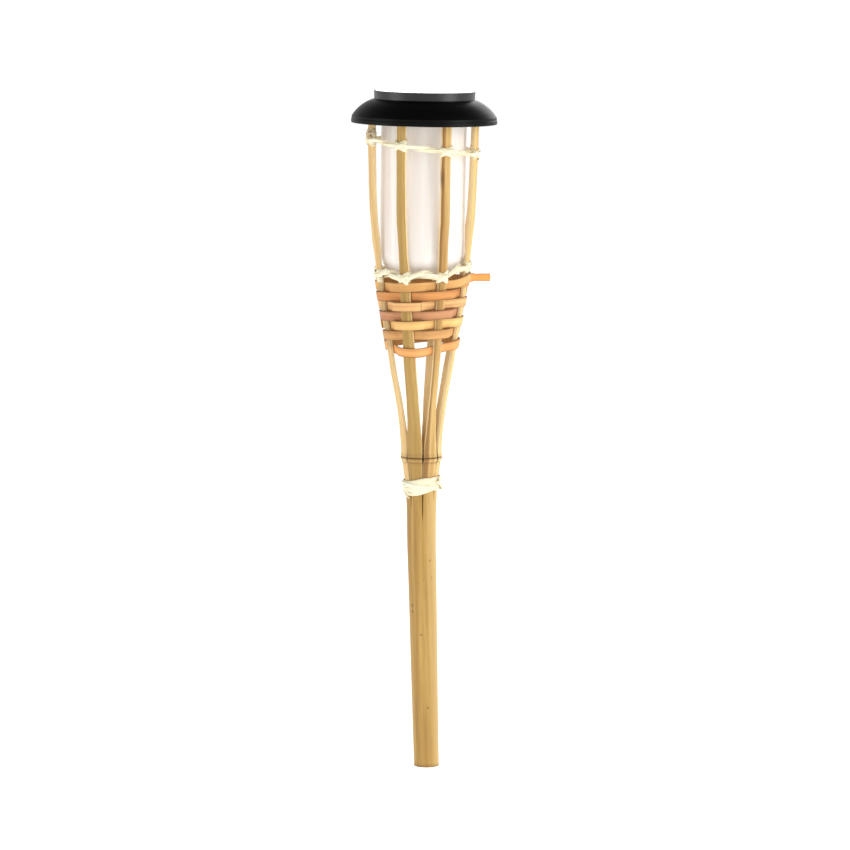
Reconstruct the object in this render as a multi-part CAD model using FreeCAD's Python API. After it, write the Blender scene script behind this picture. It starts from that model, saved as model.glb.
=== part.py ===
"""Solar garden torch: a bamboo pole split into staves at the top, a woven basket, and a lift-out solar lamp.

Units are millimetres. +Z is up and the origin is on the pole's axis where it leaves the ground. The viewer
stands at -Y with +X to the right. Angles round the head start at the front (-Y) and grow towards +X.
The lamp is built in its own frame, with z = 0 at the bottom of the cap's rim, and is then set in the cage.
"""

import FreeCAD
import Part

import math
import os

from FreeCAD import Placement, Rotation, Vector

# ---------------------------------------------------------------- driving dimensions

TOTAL_HEIGHT = 580.0
CAP_DIAMETER = 90.0
GROUND_DEPTH = 157.5        # how much of the pole goes into the ground
HEAD_X = -3.1               # the lamp's seat and the pole's top stand this far off the axis at ground level
LEAN_TOP_Z = 140.0          # the pole leans up to here and is straight again above
CAP_TILT = 1.0              # the lamp sits a little crooked in its cage, in degrees, down to the right
SEAT_Z = 308.4              # the bottom of the diffuser

# pole
POLE_R_GROUND = 7.8
POLE_R_TOP = 9.6
POLE_SHOULDER_R = 9.1       # and its radius a little below the split
POLE_SHOULDER_Z = 158.0
POLE_BORE_R = 4.0
SPLIT_Z = 176.0             # the culm is whole below this height and split into staves above it
POLE_END_CHAMFER = 0.6
CRACK_WIDTH = 0.35

# staves
STAVE_TOP_Z = 405.2
NODE_Z = 195.0              # the culm's ring
# Boundaries between the split sectors of the culm, in degrees. The first and last are the same line.
SECTOR_EDGES = (-88.0, -44.0, 4.0, 54.0, 98.0, 146.0, 178.0, 229.0, 272.0)
STAVE_TOP_ANGLES = (-70.4, -23.8, 24.4, 72.0, 111.0, 160.0, 202.0, 248.0)
# How much wider each stave is than the table's width, below the weave and above it.
STAVE_WIDTH_SHARES = (
    (1.0, 1.1),
    (1.24, 1.08),
    (0.74, 1.03),
    (0.9, 0.95),
    (0.92, 1.0),
    (0.92, 0.94),
    (1.0, 1.0),
    (0.95, 0.96),
)
STAVE_TWISTS = (6.5, 0.0, 0.0, -6.5, 0.0, 0.0, 0.0, 0.0)   # above the weave
CRACK_DEPTHS = (5.0, 9.0, 19.0, 4.0, 12.0, 6.0, 14.0, 8.0)
STAVE_COUNT = len(STAVE_TOP_ANGLES)
# Height against the cage's outer radius, the staves' thickness and their width.
CAGE_SHAPE = (
    (176.0, 9.6, 3.3, 6.9),
    (184.0, 10.9, 3.2, 7.3),
    (195.0, 12.3, 3.1, 8.4),
    (208.0, 13.3, 2.9, 7.6),
    (224.0, 15.3, 2.7, 6.8),
    (250.0, 19.9, 2.5, 6.3),
    (275.0, 23.9, 2.4, 5.8),
    (300.0, 28.2, 2.4, 5.7),
    (325.0, 31.2, 2.5, 5.8),
    (355.0, 33.9, 2.5, 5.9),
    (405.2, 35.3, 2.5, 6.2),
)
# The head isn't quite straight: height against where its axis stands along X.
HEAD_AXIS = (
    (176.0, -3.1),
    (205.0, -3.3),
    (243.0, -3.4),
    (275.0, -3.1),
    (310.0, -2.8),
    (355.0, -2.45),
    (405.2, -1.7),
)
SPREAD_Z = 225.0            # the staves have their own widths from here up
WEDGE_LENGTH = 60.0         # over this length the radial sides turn square
SIDE_TAPER = 0.12
WEAVE_LOW_Z = 250.0
TWIST_LOW_Z = 316.0
WEAVE_HIGH_Z = 330.0
NODE_BUMP = 0.75            # how far the ring stands out
NODE_GROOVE = 0.2
NODE_HALF = 2.6
STAVE_STEP = 9.5            # between one cross-section and the next
TRAY_REST_GAP = 0.4

# weave
STRIP_THICK = 0.7
STRIP_GAP = 0.18            # air between a strip and a stave
WEAVE_TILT = 2.7            # the rows rise to the right, in degrees
WEAVE_SNAP = 2.2            # how sharply a row changes sides between two staves
ROW_STEPS = 54
# For each row, from the top: height on the axis, strip width, and the stave its joint follows.
ROWS = (
    (303.6, 5.9, 4),
    (297.5, 5.95, 5),
    (291.5, 5.9, 2),
    (285.5, 5.9, 7),
    (279.5, 5.95, 8),
    (273.3, 5.95, 5),
    (264.6, 6.0, 4),
)
LAP_START = 0.2             # where a row begins and ends, in staves past the one its joint follows
LAP_END = 0.44
LOOSE_ROW_DIP = 2.2         # the lowest row sags at the second stave
LOOSE_ROW_BACK = 2.6        # and stands higher at the back
# The top row begins before its stave and passes over itself there; its free end then sticks out.
TAIL_START = -0.38
TAIL_LEAVES = 0.12
TAIL_LENGTH = 23.0
TAIL_HEADING = 54.0         # in degrees from +X
TAIL_WIDTH = 4.6
TAIL_RISE = 2.5             # how far the row climbs before it leaves the basket
TAIL_FALL = 0.07            # and how steeply its end sinks again
TAIL_STEPS = 12

# raffia
STRAND_R = 0.75
STRAND_SIDES = 8
STRAND_STEPS = 10           # for each stave
STRAND_SPAN = 0.9985        # a strand's end stops just short of its start
STRAND_SNAP = 1.6
UPPER_LASHING_Z = 388.0
UPPER_LASHING_TILT = -7.5
UPPER_LASHING_RISES = (1.3, -1.3)
# Where the lower lashing crosses each stave, and how far its strands rise in between.
LOWER_LASHING_HEIGHTS = (309.2, 308.6, 309.3, 314.0, 313.6, 312.0, 310.5, 309.6)
LOWER_LASHING_RISES = (3.4, 1.2)
POLE_LASHING_Z = 172.6
POLE_LASHING_TILT = 8.0
POLE_LASHING_TURNS = 3.2
POLE_LASHING_PITCH = 3.15
BAND_WIDTH = 3.0
BAND_THICK = 1.3
LASHING_AIR = 0.25          # between the raffia and what it binds

# cap, in the lamp's frame
CAP_HEIGHT = 19.9
CAP_WALL = 1.6
CAP_R = CAP_DIAMETER / 2
LIP_HEIGHT = 2.4
COLLAR_R = 31.2
COLLAR_EDGE = 0.25
COLLAR_Z = 14.8
SKIRT_Z = 4.2               # the skirt stands straight up to here
SHOULDER = (40.5, 9.3)      # radius and height of the middle of the shoulder's curve
RECESS_R = 30.7
LEDGE_R = 27.2
WINDOW_THICK = 1.4
LEDGE_Z = CAP_HEIGHT - WINDOW_THICK
BOARD_SIDE = 36.0
BOARD_THICK = 1.0
CELL_THICK = 0.35
CELL_COUNT = 4

# tray that closes the cap from below
TRAY_R = 40.0
TRAY_Z = 4.9
TRAY_THICK = 1.5
SOCKET_R_IN = 27.7
SOCKET_R_OUT = 29.3
SOCKET_Z = 0.6
LUG_COUNT = 3
LUG_ANGLE = 24.0
LEDGE_ANGLE = 28.0
STOP_ANGLE = 4.0
SCREW_COUNT = 4
SCREW_CIRCLE_R = 38.2
SCREW_FIRST_ANGLE = 2.0
SCREW_R = 1.1
SCREW_HEAD_R = 2.2
SCREW_HEAD_H = 1.4
BOSS_R = 2.3

# diffuser
DIFFUSER_R = 26.3
DIFFUSER_WALL = 1.3
DIFFUSER_TOP = 4.3
DIFFUSER_ROUND = 15.0

# battery, electronics
CELL_Y = 9.8
CELL_Z = 5.0
BATTERY_R = 5.0
BATTERY_LENGTH = 27.8
BATTERY_NUB = 1.2
TROUGH_LENGTH = 36.4
TROUGH_WIDTH = 13.0
TROUGH_WALL = 1.2
TROUGH_BOTTOM = -0.2
TROUGH_TOP = 9.0
COVER_THICK = 1.2
COVER_GAP = 0.2
LED_R = 2.5
LED_DOME_Z = 1.4
PCB_Z = 8.0
PCB_THICK = 1.2
SWITCH_Y = -12.0
SWITCH_TRAVEL = 2.0
WIRE_R = 0.5

HEAD_TOP = TOTAL_HEIGHT - GROUND_DEPTH
TILT = math.radians(CAP_TILT)
RIM_ABOVE_SEAT = (HEAD_TOP - COLLAR_R * math.sin(TILT) - SEAT_Z) / math.cos(TILT) - CAP_HEIGHT
LAMP_PLACE = (
    Placement(Vector(HEAD_X, 0, SEAT_Z), Rotation(Vector(0, 1, 0), CAP_TILT))
    * Placement(Vector(0, 0, RIM_ABOVE_SEAT), Rotation())
)


# ---------------------------------------------------------------- helpers


def save(name, shape):
    """Writes one node and says how large it is."""
    solids = len(shape.Solids)
    print(f"{name:18s} solids {solids}  volume {shape.Volume:9.1f}  valid {shape.isValid()}")
    shape.exportStep(os.path.join("parts", name + ".step"))


def save_lamp(name, shape):
    """Writes a node that was built in the lamp's frame, set in the cage."""
    placed = shape.copy()
    placed.Placement = LAMP_PLACE * placed.Placement
    save(name, placed)


def box(x0, x1, y0, y1, z0, z1):
    return Part.makeBox(x1 - x0, y1 - y0, z1 - z0, Vector(x0, y0, z0))


def tube(radius, z0, z1, x=0.0, y=0.0):
    """A solid cylinder standing along Z."""
    return Part.makeCylinder(radius, z1 - z0, Vector(x, y, z0))


def ring(r_in, r_out, z0, z1, start=0.0, sweep=360.0):
    """A ring, or a sector of one that starts at an angle and spans a sweep, in degrees from +X."""
    whole = Part.makeCylinder(r_out, z1 - z0, Vector(0, 0, z0), Vector(0, 0, 1), sweep)
    core = Part.makeCylinder(r_in, z1 - z0, Vector(0, 0, z0), Vector(0, 0, 1), 360)
    made = whole.cut(core)
    made.rotate(Vector(0, 0, 0), Vector(0, 0, 1), start)
    return made


def revolved(edges):
    """Turns a closed outline in the XZ plane about Z."""
    face = Part.Face(Part.Wire(edges))
    return face.revolve(Vector(0, 0, 0), Vector(0, 0, 1), 360)


def line(a, b):
    return Part.LineSegment(Vector(a[0], 0, a[1]), Vector(b[0], 0, b[1])).toShape()


def arc(a, b, c):
    return Part.Arc(*(Vector(p[0], 0, p[1]) for p in (a, b, c))).toShape()


def smooth_table(table, z, column):
    """A monotone cubic through one column of a table whose first column is the height."""
    z = min(max(z, table[0][0]), table[-1][0])
    i = max(k for k in range(len(table) - 1) if table[k][0] <= z)

    def slope(k):
        if k == 0 or k == len(table) - 1:
            j = min(k, len(table) - 2)
            return (table[j + 1][column] - table[j][column]) / (table[j + 1][0] - table[j][0])
        before = (table[k][column] - table[k - 1][column]) / (table[k][0] - table[k - 1][0])
        after = (table[k + 1][column] - table[k][column]) / (table[k + 1][0] - table[k][0])
        return 0.0 if before * after <= 0 else 2 * before * after / (before + after)

    span = table[i + 1][0] - table[i][0]
    t = (z - table[i][0]) / span
    h00, h10 = 2 * t**3 - 3 * t**2 + 1, t**3 - 2 * t**2 + t
    h01, h11 = 1 - h00, t**3 - t**2
    return (
        h00 * table[i][column]
        + h10 * span * slope(i)
        + h01 * table[i + 1][column]
        + h11 * span * slope(i + 1)
    )


def cage_radius(z):
    return smooth_table(CAGE_SHAPE, z, 1)


def stave_thickness(z):
    return smooth_table(CAGE_SHAPE, z, 2)


def stave_angle(index, z):
    """The angle of a stave's middle, which drifts from its sector at the split to its place at the top."""
    low = (SECTOR_EDGES[index] + SECTOR_EDGES[index + 1]) / 2
    return low + (STAVE_TOP_ANGLES[index] - low) * blend(SPLIT_Z, STAVE_TOP_Z, z)


def head_axis_x(z):
    return smooth_table(HEAD_AXIS, z, 1)


def outward(angle):
    """The level direction away from the head's axis. The angle is in degrees from the front."""
    a = math.radians(angle)
    return Vector(math.sin(a), -math.cos(a), 0)


def head_point(angle, radius, z):
    """A point round the head's axis."""
    return Vector(head_axis_x(z), 0, z) + outward(angle) * radius


def blend(low, high, z):
    """Goes smoothly from 0 at a low height to 1 at a high one."""
    t = min(max((z - low) / (high - low), 0.0), 1.0)
    return t * t * (3 - 2 * t)


def loft(sections, ruled=False):
    return Part.makeLoft(sections, True, ruled)


def polygon(points):
    return Part.makePolygon(list(points) + [points[0]])


# ---------------------------------------------------------------- bamboo


def pole_axis_x(z):
    """The pole leans a little above the ground. Its axis is on the head's axis where the staves begin."""
    return HEAD_X * min(max(z, 0.0) / LEAN_TOP_Z, 1.0)


def circle(radius, z):
    return Part.Wire([Part.makeCircle(radius, Vector(pole_axis_x(z), 0, z))])


def bamboo_pole():
    """The whole part of the culm: straight where it is planted, leaning and wider above, and hollow."""
    chamfered = [
        (0.0, -GROUND_DEPTH),
        (POLE_R_GROUND - POLE_END_CHAMFER, -GROUND_DEPTH),
        (POLE_R_GROUND, -GROUND_DEPTH + POLE_END_CHAMFER),
        (POLE_R_GROUND, 0.0),
        (0.0, 0.0),
    ]
    planted = revolved([line(a, b) for a, b in zip(chamfered, chamfered[1:] + chamfered[:1])])
    lean_top_r = POLE_R_GROUND + (POLE_SHOULDER_R - POLE_R_GROUND) * LEAN_TOP_Z / POLE_SHOULDER_Z
    radii = (POLE_R_GROUND, lean_top_r, POLE_SHOULDER_R, POLE_R_TOP)
    heights = (0.0, LEAN_TOP_Z, POLE_SHOULDER_Z, SPLIT_Z)
    pole = planted.fuse(loft([circle(r, z) for r, z in zip(radii, heights)], ruled=True))
    pole = pole.cut(tube(POLE_BORE_R, -GROUND_DEPTH - 1, 0.0))
    bore = [circle(POLE_BORE_R, z) for z in (0.0, LEAN_TOP_Z, SPLIT_Z + 1)]
    pole = pole.cut(loft(bore, ruled=True))
    half = CRACK_WIDTH / 2
    for edge, depth in zip(SECTOR_EDGES, CRACK_DEPTHS):
        crack = box(-half, half, -2 * POLE_R_TOP, -POLE_BORE_R / 2, SPLIT_Z - depth, SPLIT_Z + 1)
        crack.rotate(Vector(0, 0, 0), Vector(0, 0, 1), edge)
        crack.translate(Vector(HEAD_X, 0, 0))
        pole = pole.cut(crack)
    return pole


def node_bump(z):
    """The culm's ring: a ridge with a fine groove on it."""
    d = (z - NODE_Z) / NODE_HALF
    if abs(d) >= 1:
        return 0.0
    ridge = NODE_BUMP * (1 - d * d) ** 2
    groove = NODE_GROOVE if abs(z - NODE_Z - 0.9) < 0.3 else 0.0
    return ridge - groove


def stave_half_width(index, z):
    """Half a stave's width. At the split it takes up its sector of the culm."""
    low, high = STAVE_WIDTH_SHARES[index]
    share = low + (high - low) * blend(WEAVE_LOW_Z, WEAVE_HIGH_Z, z)
    sector_share = (SECTOR_EDGES[index + 1] - SECTOR_EDGES[index]) * STAVE_COUNT / 360
    free = min((z - SPLIT_Z) / (SPREAD_Z - SPLIT_Z), 1.0)
    return smooth_table(CAGE_SHAPE, z, 3) / 2 * (sector_share + (share - sector_share) * free)


def stave_section(index, z):
    """A stave's cross-section: the culm's rounded skin outside, a flat face inside."""
    r_out = cage_radius(z) + node_bump(z)
    thick = stave_thickness(z)
    half = stave_half_width(index, z)
    # near the split the sides are radial, as the culm's sectors are
    wedge = max(SIDE_TAPER, 1 - (z - SPLIT_Z) / WEDGE_LENGTH)
    inner_half = half * (1 - wedge * thick / r_out)
    crown = half * half / (2 * POLE_R_TOP)
    angle = stave_angle(index, z)
    faces = angle + STAVE_TWISTS[index] * blend(TWIST_LOW_Z, WEAVE_HIGH_Z, z)
    out, side = outward(faces), outward(faces + 90)
    top = head_point(angle, r_out - thick / 2, z) + out * (thick / 2)
    left = top - out * crown - side * half
    right = top - out * crown + side * half
    low_left = top - out * thick - side * inner_half
    low_right = top - out * thick + side * inner_half
    return Part.Wire(
        [
            Part.Arc(left, top, right).toShape(),
            Part.LineSegment(right, low_right).toShape(),
            Part.LineSegment(low_right, low_left).toShape(),
            Part.LineSegment(low_left, left).toShape(),
        ]
    )


def stave_top(index):
    """A stave ends just short of the lamp's tray, which rests on the staves' ends."""
    reach = cage_radius(STAVE_TOP_Z) * math.sin(math.radians(STAVE_TOP_ANGLES[index]))
    tray_axis_z = LAMP_PLACE.multVec(Vector(0, 0, TRAY_Z)).z
    return tray_axis_z - reach * math.tan(TILT) - TRAY_REST_GAP


def stave(index):
    """One stave, from the split to under the cap."""
    ring_heights = [NODE_Z + k for k in (-2.6, -1.9, -1.0, 0.0, 0.6, 0.9, 1.2, 1.9, 2.6)]
    spread = [NODE_Z + 6 + STAVE_STEP * k for k in range(int((STAVE_TOP_Z - NODE_Z - 8) / STAVE_STEP))]
    heights = [SPLIT_Z, SPLIT_Z + 5, SPLIT_Z + 11, *ring_heights, *spread, stave_top(index)]
    return loft([stave_section(index, z) for z in heights], ruled=True)


# ---------------------------------------------------------------- weave


def angle_of(position, z):
    """The angle of a place among the staves: 1.0 is on the first, 1.5 half way to the second, and so on."""
    turns, within = divmod(position - 1, STAVE_COUNT)
    k = int(within)
    marks = [stave_angle(i, z) for i in range(STAVE_COUNT)] + [stave_angle(0, z) + 360]
    return 360 * turns + marks[k] + (within - k) * (marks[k + 1] - marks[k])


def strip(centres, ups, widths, thick):
    """A flat strip whose broad faces are at right angles to its path's normal in plan."""
    sections = []
    for i, (c, up, width) in enumerate(zip(centres, ups, widths)):
        ahead = centres[min(i + 1, len(centres) - 1)] - centres[max(i - 1, 0)]
        ahead.normalize()
        normal = ahead.cross(up)
        normal.normalize()
        h, n = up * (width / 2), normal * (thick / 2)
        sections.append(polygon([c - h - n, c + h - n, c + h + n, c - h + n]))
    return loft(sections)


def lean_up(angle, z):
    """The direction up a stave at an angle and height."""
    slope = (cage_radius(z + 2) - cage_radius(z - 2)) / 4
    up = outward(angle) * slope + Vector(0, 0, 1)
    return up.normalize()


def row_rise(index, position, angle, radius, end):
    """How far a row stands above its height on the axis, at one place round the basket."""
    rise = radius * math.sin(math.radians(angle)) * math.tan(math.radians(WEAVE_TILT))
    if index == 0:
        rise += TAIL_RISE * blend(end - 0.82, end - 0.12, position)
    if index == len(ROWS) - 1:
        away = (position - 2.2 + STAVE_COUNT / 2) % STAVE_COUNT - STAVE_COUNT / 2
        rise -= LOOSE_ROW_DIP * math.exp(-away * away)
        rise += LOOSE_ROW_BACK * (1 - math.cos(math.radians(angle))) / 2
    return rise


def weave_row(index):
    """One hoop of the basket: outside every other stave and inside the rest, with its ends lapped."""
    z_row, width, joint = ROWS[index]
    thick = stave_thickness(z_row)
    reach = (thick + STRIP_THICK) / 2 + STRIP_GAP
    layer = STRIP_THICK + STRIP_GAP
    outside = 1 if joint % 2 == 0 else -1
    start, end = joint + LAP_START, joint + STAVE_COUNT + LAP_END
    if index == 0:
        start, end = joint + TAIL_START, joint + STAVE_COUNT + TAIL_LEAVES
    centres, ups = [], []
    for i in range(ROW_STEPS + 1):
        position = start + (end - start) * i / ROW_STEPS
        angle = angle_of(position, z_row)
        swing = outside * math.tanh(WEAVE_SNAP * math.cos(math.pi * position)) / math.tanh(WEAVE_SNAP)
        if index == 0:
            lap = layer * blend(end - 1.2, end - 0.6, position)
        else:
            lap = layer / 2 * (max(0.0, 1 - (end - position) / 1.2) - max(0.0, 1 - (position - start) / 1.2))
        radius = cage_radius(z_row) - thick / 2 + swing * reach + lap
        z = z_row + row_rise(index, position, angle, radius, end)
        slope = cage_radius(z) - cage_radius(z_row)
        centres.append(head_point(angle, radius + slope, z))
        ups.append(lean_up(angle, z))
    widths = [width] * len(centres)
    if index == 0:
        add_tail(centres, ups, widths)
    return strip(centres, ups, widths, STRIP_THICK)


def add_tail(centres, ups, widths):
    """Carries a strip's path on, off the basket, as a narrowing free end."""
    ahead = centres[-1] - centres[-2]
    first = math.degrees(math.atan2(ahead.y, ahead.x))
    up, width = ups[-1], widths[-1]
    for i in range(TAIL_STEPS):
        share = (i + 1) / TAIL_STEPS
        turn = math.radians(first + (TAIL_HEADING - first) * min(1.0, 3 * share))
        step = Vector(math.cos(turn), math.sin(turn), -TAIL_FALL) * (TAIL_LENGTH / TAIL_STEPS)
        centres.append(centres[-1] + step)
        ups.append((up * (1 - share) + Vector(0, 0, 1) * share).normalize())
        widths.append(width + (TAIL_WIDTH - width) * min(1.0, 3 * share))


# ---------------------------------------------------------------- raffia


def swept(points, radius):
    """A round strand along a smooth curve."""
    curve = Part.BSplineCurve()
    curve.interpolate(points)
    path = Part.Wire([curve.toShape()])
    ahead = curve.tangent(curve.FirstParameter)[0]
    profile = Part.Wire([Part.makeCircle(radius, points[0], ahead)])
    return path.makePipeShell([profile], True, True)


def strand(points, radius):
    """A nearly level strand of many-sided section through points that lie close together."""
    sections = []
    for i, c in enumerate(points):
        ahead = (points[min(i + 1, len(points) - 1)] - points[max(i - 1, 0)]).normalize()
        side = ahead.cross(Vector(0, 0, 1)).normalize()
        up = side.cross(ahead)
        turns = [2 * math.pi * k / STRAND_SIDES for k in range(STRAND_SIDES)]
        sections.append(polygon([c + side * (radius * math.cos(a)) + up * (radius * math.sin(a)) for a in turns]))
    return loft(sections, ruled=True)


def twined_strand(height_at, middle_z, reach, first_outside, rises):
    """One of two strands that twine round the staves: outside one, inside the next, crossing in between."""
    points = []
    total = STAVE_COUNT * STRAND_STEPS
    parity = 0 if first_outside else 1
    for i in range(total):
        position = 1.5 + STRAND_SPAN * i / STRAND_STEPS
        angle = angle_of(position, middle_z)
        swing = math.tanh(STRAND_SNAP * math.cos(math.pi * (position + parity))) / math.tanh(STRAND_SNAP)
        z = height_at(position, angle)
        radius = cage_radius(z) - stave_thickness(z) / 2 + swing * reach
        rise = rises[(int(position) + parity) % 2] * math.sin(math.pi * position) ** 2
        points.append(head_point(angle, radius, z + rise))
    return strand(points, STRAND_R)


def lashing(height_at, middle_z, rises):
    """Two twined strands of raffia as one group."""
    reach = stave_thickness(middle_z) / 2 + STRAND_R + LASHING_AIR
    strands = [twined_strand(height_at, middle_z, reach, first, rises) for first in (True, False)]
    return Part.makeCompound(strands)


def upper_lashing():
    """The tie under the cap, which slants down to the right."""

    def height_at(position, angle):
        across = cage_radius(UPPER_LASHING_Z) * math.sin(math.radians(angle))
        return UPPER_LASHING_Z + across * math.tan(math.radians(UPPER_LASHING_TILT))

    return lashing(height_at, UPPER_LASHING_Z, UPPER_LASHING_RISES)


def lower_lashing():
    """The tie along the basket's rim, at its own height on each stave."""

    def height_at(position, angle):
        k = int(position)
        here = LOWER_LASHING_HEIGHTS[(k - 1) % STAVE_COUNT]
        after = LOWER_LASHING_HEIGHTS[k % STAVE_COUNT]
        return here + (after - here) * blend(0.0, 1.0, position - k)

    middle = sum(LOWER_LASHING_HEIGHTS) / STAVE_COUNT
    return lashing(height_at, middle, LOWER_LASHING_RISES)


def pole_lashing():
    """Raffia wound round the foot of the split, so that it runs no further down."""
    steps = int(POLE_LASHING_TURNS * 20)
    centres, ups = [], []
    for i in range(steps + 1):
        turn = POLE_LASHING_TURNS * i / steps
        angle = 360 * turn + 150
        z_flat = POLE_LASHING_Z + POLE_LASHING_PITCH * turn
        radius = cage_radius(max(z_flat + BAND_WIDTH / 2 + 1.6, SPLIT_Z)) + BAND_THICK / 2 + LASHING_AIR
        rise = radius * math.sin(math.radians(angle)) * math.tan(math.radians(POLE_LASHING_TILT))
        centres.append(head_point(angle, radius, z_flat + rise))
        ups.append(Vector(0, 0, 1))
    return strip(centres, ups, [BAND_WIDTH] * len(centres), BAND_THICK)


# ---------------------------------------------------------------- lamp: cap and tray


def cap_outline():
    """The outside of the cap, from the rim to the collar's top."""
    return [
        line((0, 0), (CAP_R - 0.4, 0)),
        line((CAP_R - 0.4, 0), (CAP_R, 0.4)),
        line((CAP_R, 0.4), (CAP_R, LIP_HEIGHT)),
        line((CAP_R, LIP_HEIGHT), (CAP_R - 0.3, LIP_HEIGHT + 0.3)),
        line((CAP_R - 0.3, LIP_HEIGHT + 0.3), (CAP_R - 0.3, SKIRT_Z)),
        arc((CAP_R - 0.3, SKIRT_Z), SHOULDER, (COLLAR_R + 0.5, COLLAR_Z - 0.2)),
        line((COLLAR_R + 0.5, COLLAR_Z - 0.2), (COLLAR_R - 0.2, COLLAR_Z)),
        line((COLLAR_R - 0.2, COLLAR_Z), (COLLAR_R, CAP_HEIGHT - COLLAR_EDGE)),
        line((COLLAR_R, CAP_HEIGHT - COLLAR_EDGE), (COLLAR_R - COLLAR_EDGE, CAP_HEIGHT)),
        line((COLLAR_R - COLLAR_EDGE, CAP_HEIGHT), (0, CAP_HEIGHT)),
        line((0, CAP_HEIGHT), (0, 0)),
    ]


def cap_shell():
    """The black cover: a lipped skirt, a curved shoulder and a collar with a seat for the window."""
    whole = revolved(cap_outline())
    skirt_r = CAP_R - CAP_WALL - 0.3
    neck_r = COLLAR_R - CAP_WALL - 0.2
    inner_shoulder = (SHOULDER[0] - 0.7 * CAP_WALL, SHOULDER[1] - CAP_WALL)
    inside = [
        line((0, -1), (skirt_r, -1)),
        line((skirt_r, -1), (skirt_r, SKIRT_Z - 0.5)),
        arc((skirt_r, SKIRT_Z - 0.5), inner_shoulder, (COLLAR_R - 0.2, COLLAR_Z - 2)),
        line((COLLAR_R - 0.2, COLLAR_Z - 2), (neck_r, COLLAR_Z - 1.2)),
        line((neck_r, COLLAR_Z - 1.2), (neck_r, LEDGE_Z - 1.5)),
        line((neck_r, LEDGE_Z - 1.5), (LEDGE_R, LEDGE_Z - 1.5)),
        line((LEDGE_R, LEDGE_Z - 1.5), (LEDGE_R, LEDGE_Z)),
        line((LEDGE_R, LEDGE_Z), (RECESS_R, LEDGE_Z)),
        line((RECESS_R, LEDGE_Z), (RECESS_R, CAP_HEIGHT + 1)),
        line((RECESS_R, CAP_HEIGHT + 1), (0, CAP_HEIGHT + 1)),
        line((0, CAP_HEIGHT + 1), (0, -1)),
    ]
    shell = whole.cut(revolved(inside))
    for x, y in screw_places():
        boss = tube(BOSS_R, TRAY_Z + TRAY_THICK + 0.1, 12.0, x, y).common(whole)
        shell = shell.fuse(boss)
    for x, y in screw_places():
        shell = shell.cut(tube(SCREW_R + 0.05, TRAY_Z, 9.0, x, y))
    return shell.removeSplitter()


def screw_places():
    """Where the screws stand, in the lamp's plan."""
    for k in range(SCREW_COUNT):
        a = math.radians(SCREW_FIRST_ANGLE + 360 * k / SCREW_COUNT)
        yield SCREW_CIRCLE_R * math.cos(a), SCREW_CIRCLE_R * math.sin(a)


def lamp_tray():
    """The plate under the cap, with the cup's bayonet socket, the battery trough and the board's posts."""
    tray = tube(TRAY_R, TRAY_Z, TRAY_Z + TRAY_THICK)
    tray = tray.fuse(ring(SOCKET_R_IN, SOCKET_R_OUT, SOCKET_Z, TRAY_Z + 0.1))
    for k in range(LUG_COUNT):
        middle = 360 * k / LUG_COUNT + 90
        r_in, r_out = DIFFUSER_R + 0.4, SOCKET_R_IN + 0.2
        ledge = ring(r_in, r_out, SOCKET_Z, SOCKET_Z + 1.3, middle - LEDGE_ANGLE / 2, LEDGE_ANGLE)
        stop = ring(r_in, r_out, SOCKET_Z, TRAY_Z + 0.1, middle + LUG_ANGLE / 2 + 1, STOP_ANGLE)
        tray = tray.fuse(ledge).fuse(stop)
    half_x, half_y = TROUGH_LENGTH / 2, TROUGH_WIDTH / 2
    trough = box(-half_x, half_x, CELL_Y - half_y, CELL_Y + half_y, TROUGH_BOTTOM, TROUGH_TOP)
    room = box(
        -half_x + TROUGH_WALL,
        half_x - TROUGH_WALL,
        CELL_Y - half_y + TROUGH_WALL,
        CELL_Y + half_y - TROUGH_WALL,
        TROUGH_BOTTOM - 1,
        TROUGH_TOP + 1,
    )
    tray = tray.fuse(trough).cut(room)
    tray = tray.cut(tube(LED_R + 0.2, TRAY_Z - 1, TRAY_Z + TRAY_THICK + 1))
    tray = tray.cut(box(-4.6, 4.6, SWITCH_Y - 2.3, SWITCH_Y + 2.3, TRAY_Z - 1, TRAY_Z + TRAY_THICK + 1))
    for x, y in screw_places():
        tray = tray.cut(tube(SCREW_R + 0.15, TRAY_Z - 1, TRAY_Z + TRAY_THICK + 1, x, y))
    for x in (-10.0, 10.0):
        tray = tray.fuse(tube(1.5, TRAY_Z + TRAY_THICK - 0.1, PCB_Z, x, -9.0))
    return tray.removeSplitter()


def tray_screws():
    """Cross-head screws that go up through the tray into the cap's bosses."""
    screws = []
    top = TRAY_Z
    for x, y in screw_places():
        head = tube(SCREW_HEAD_R, top - SCREW_HEAD_H, top, x, y)
        for turn in (0, 90):
            slot = box(-1.3, 1.3, -0.3, 0.3, top - SCREW_HEAD_H - 0.1, top - SCREW_HEAD_H + 0.7)
            slot.rotate(Vector(0, 0, 0), Vector(0, 0, 1), turn)
            slot.translate(Vector(x, y, 0))
            head = head.cut(slot)
        screws.append(head.fuse(tube(SCREW_R, top - 0.1, 8.8, x, y)).removeSplitter())
    return Part.makeCompound(screws)


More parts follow.
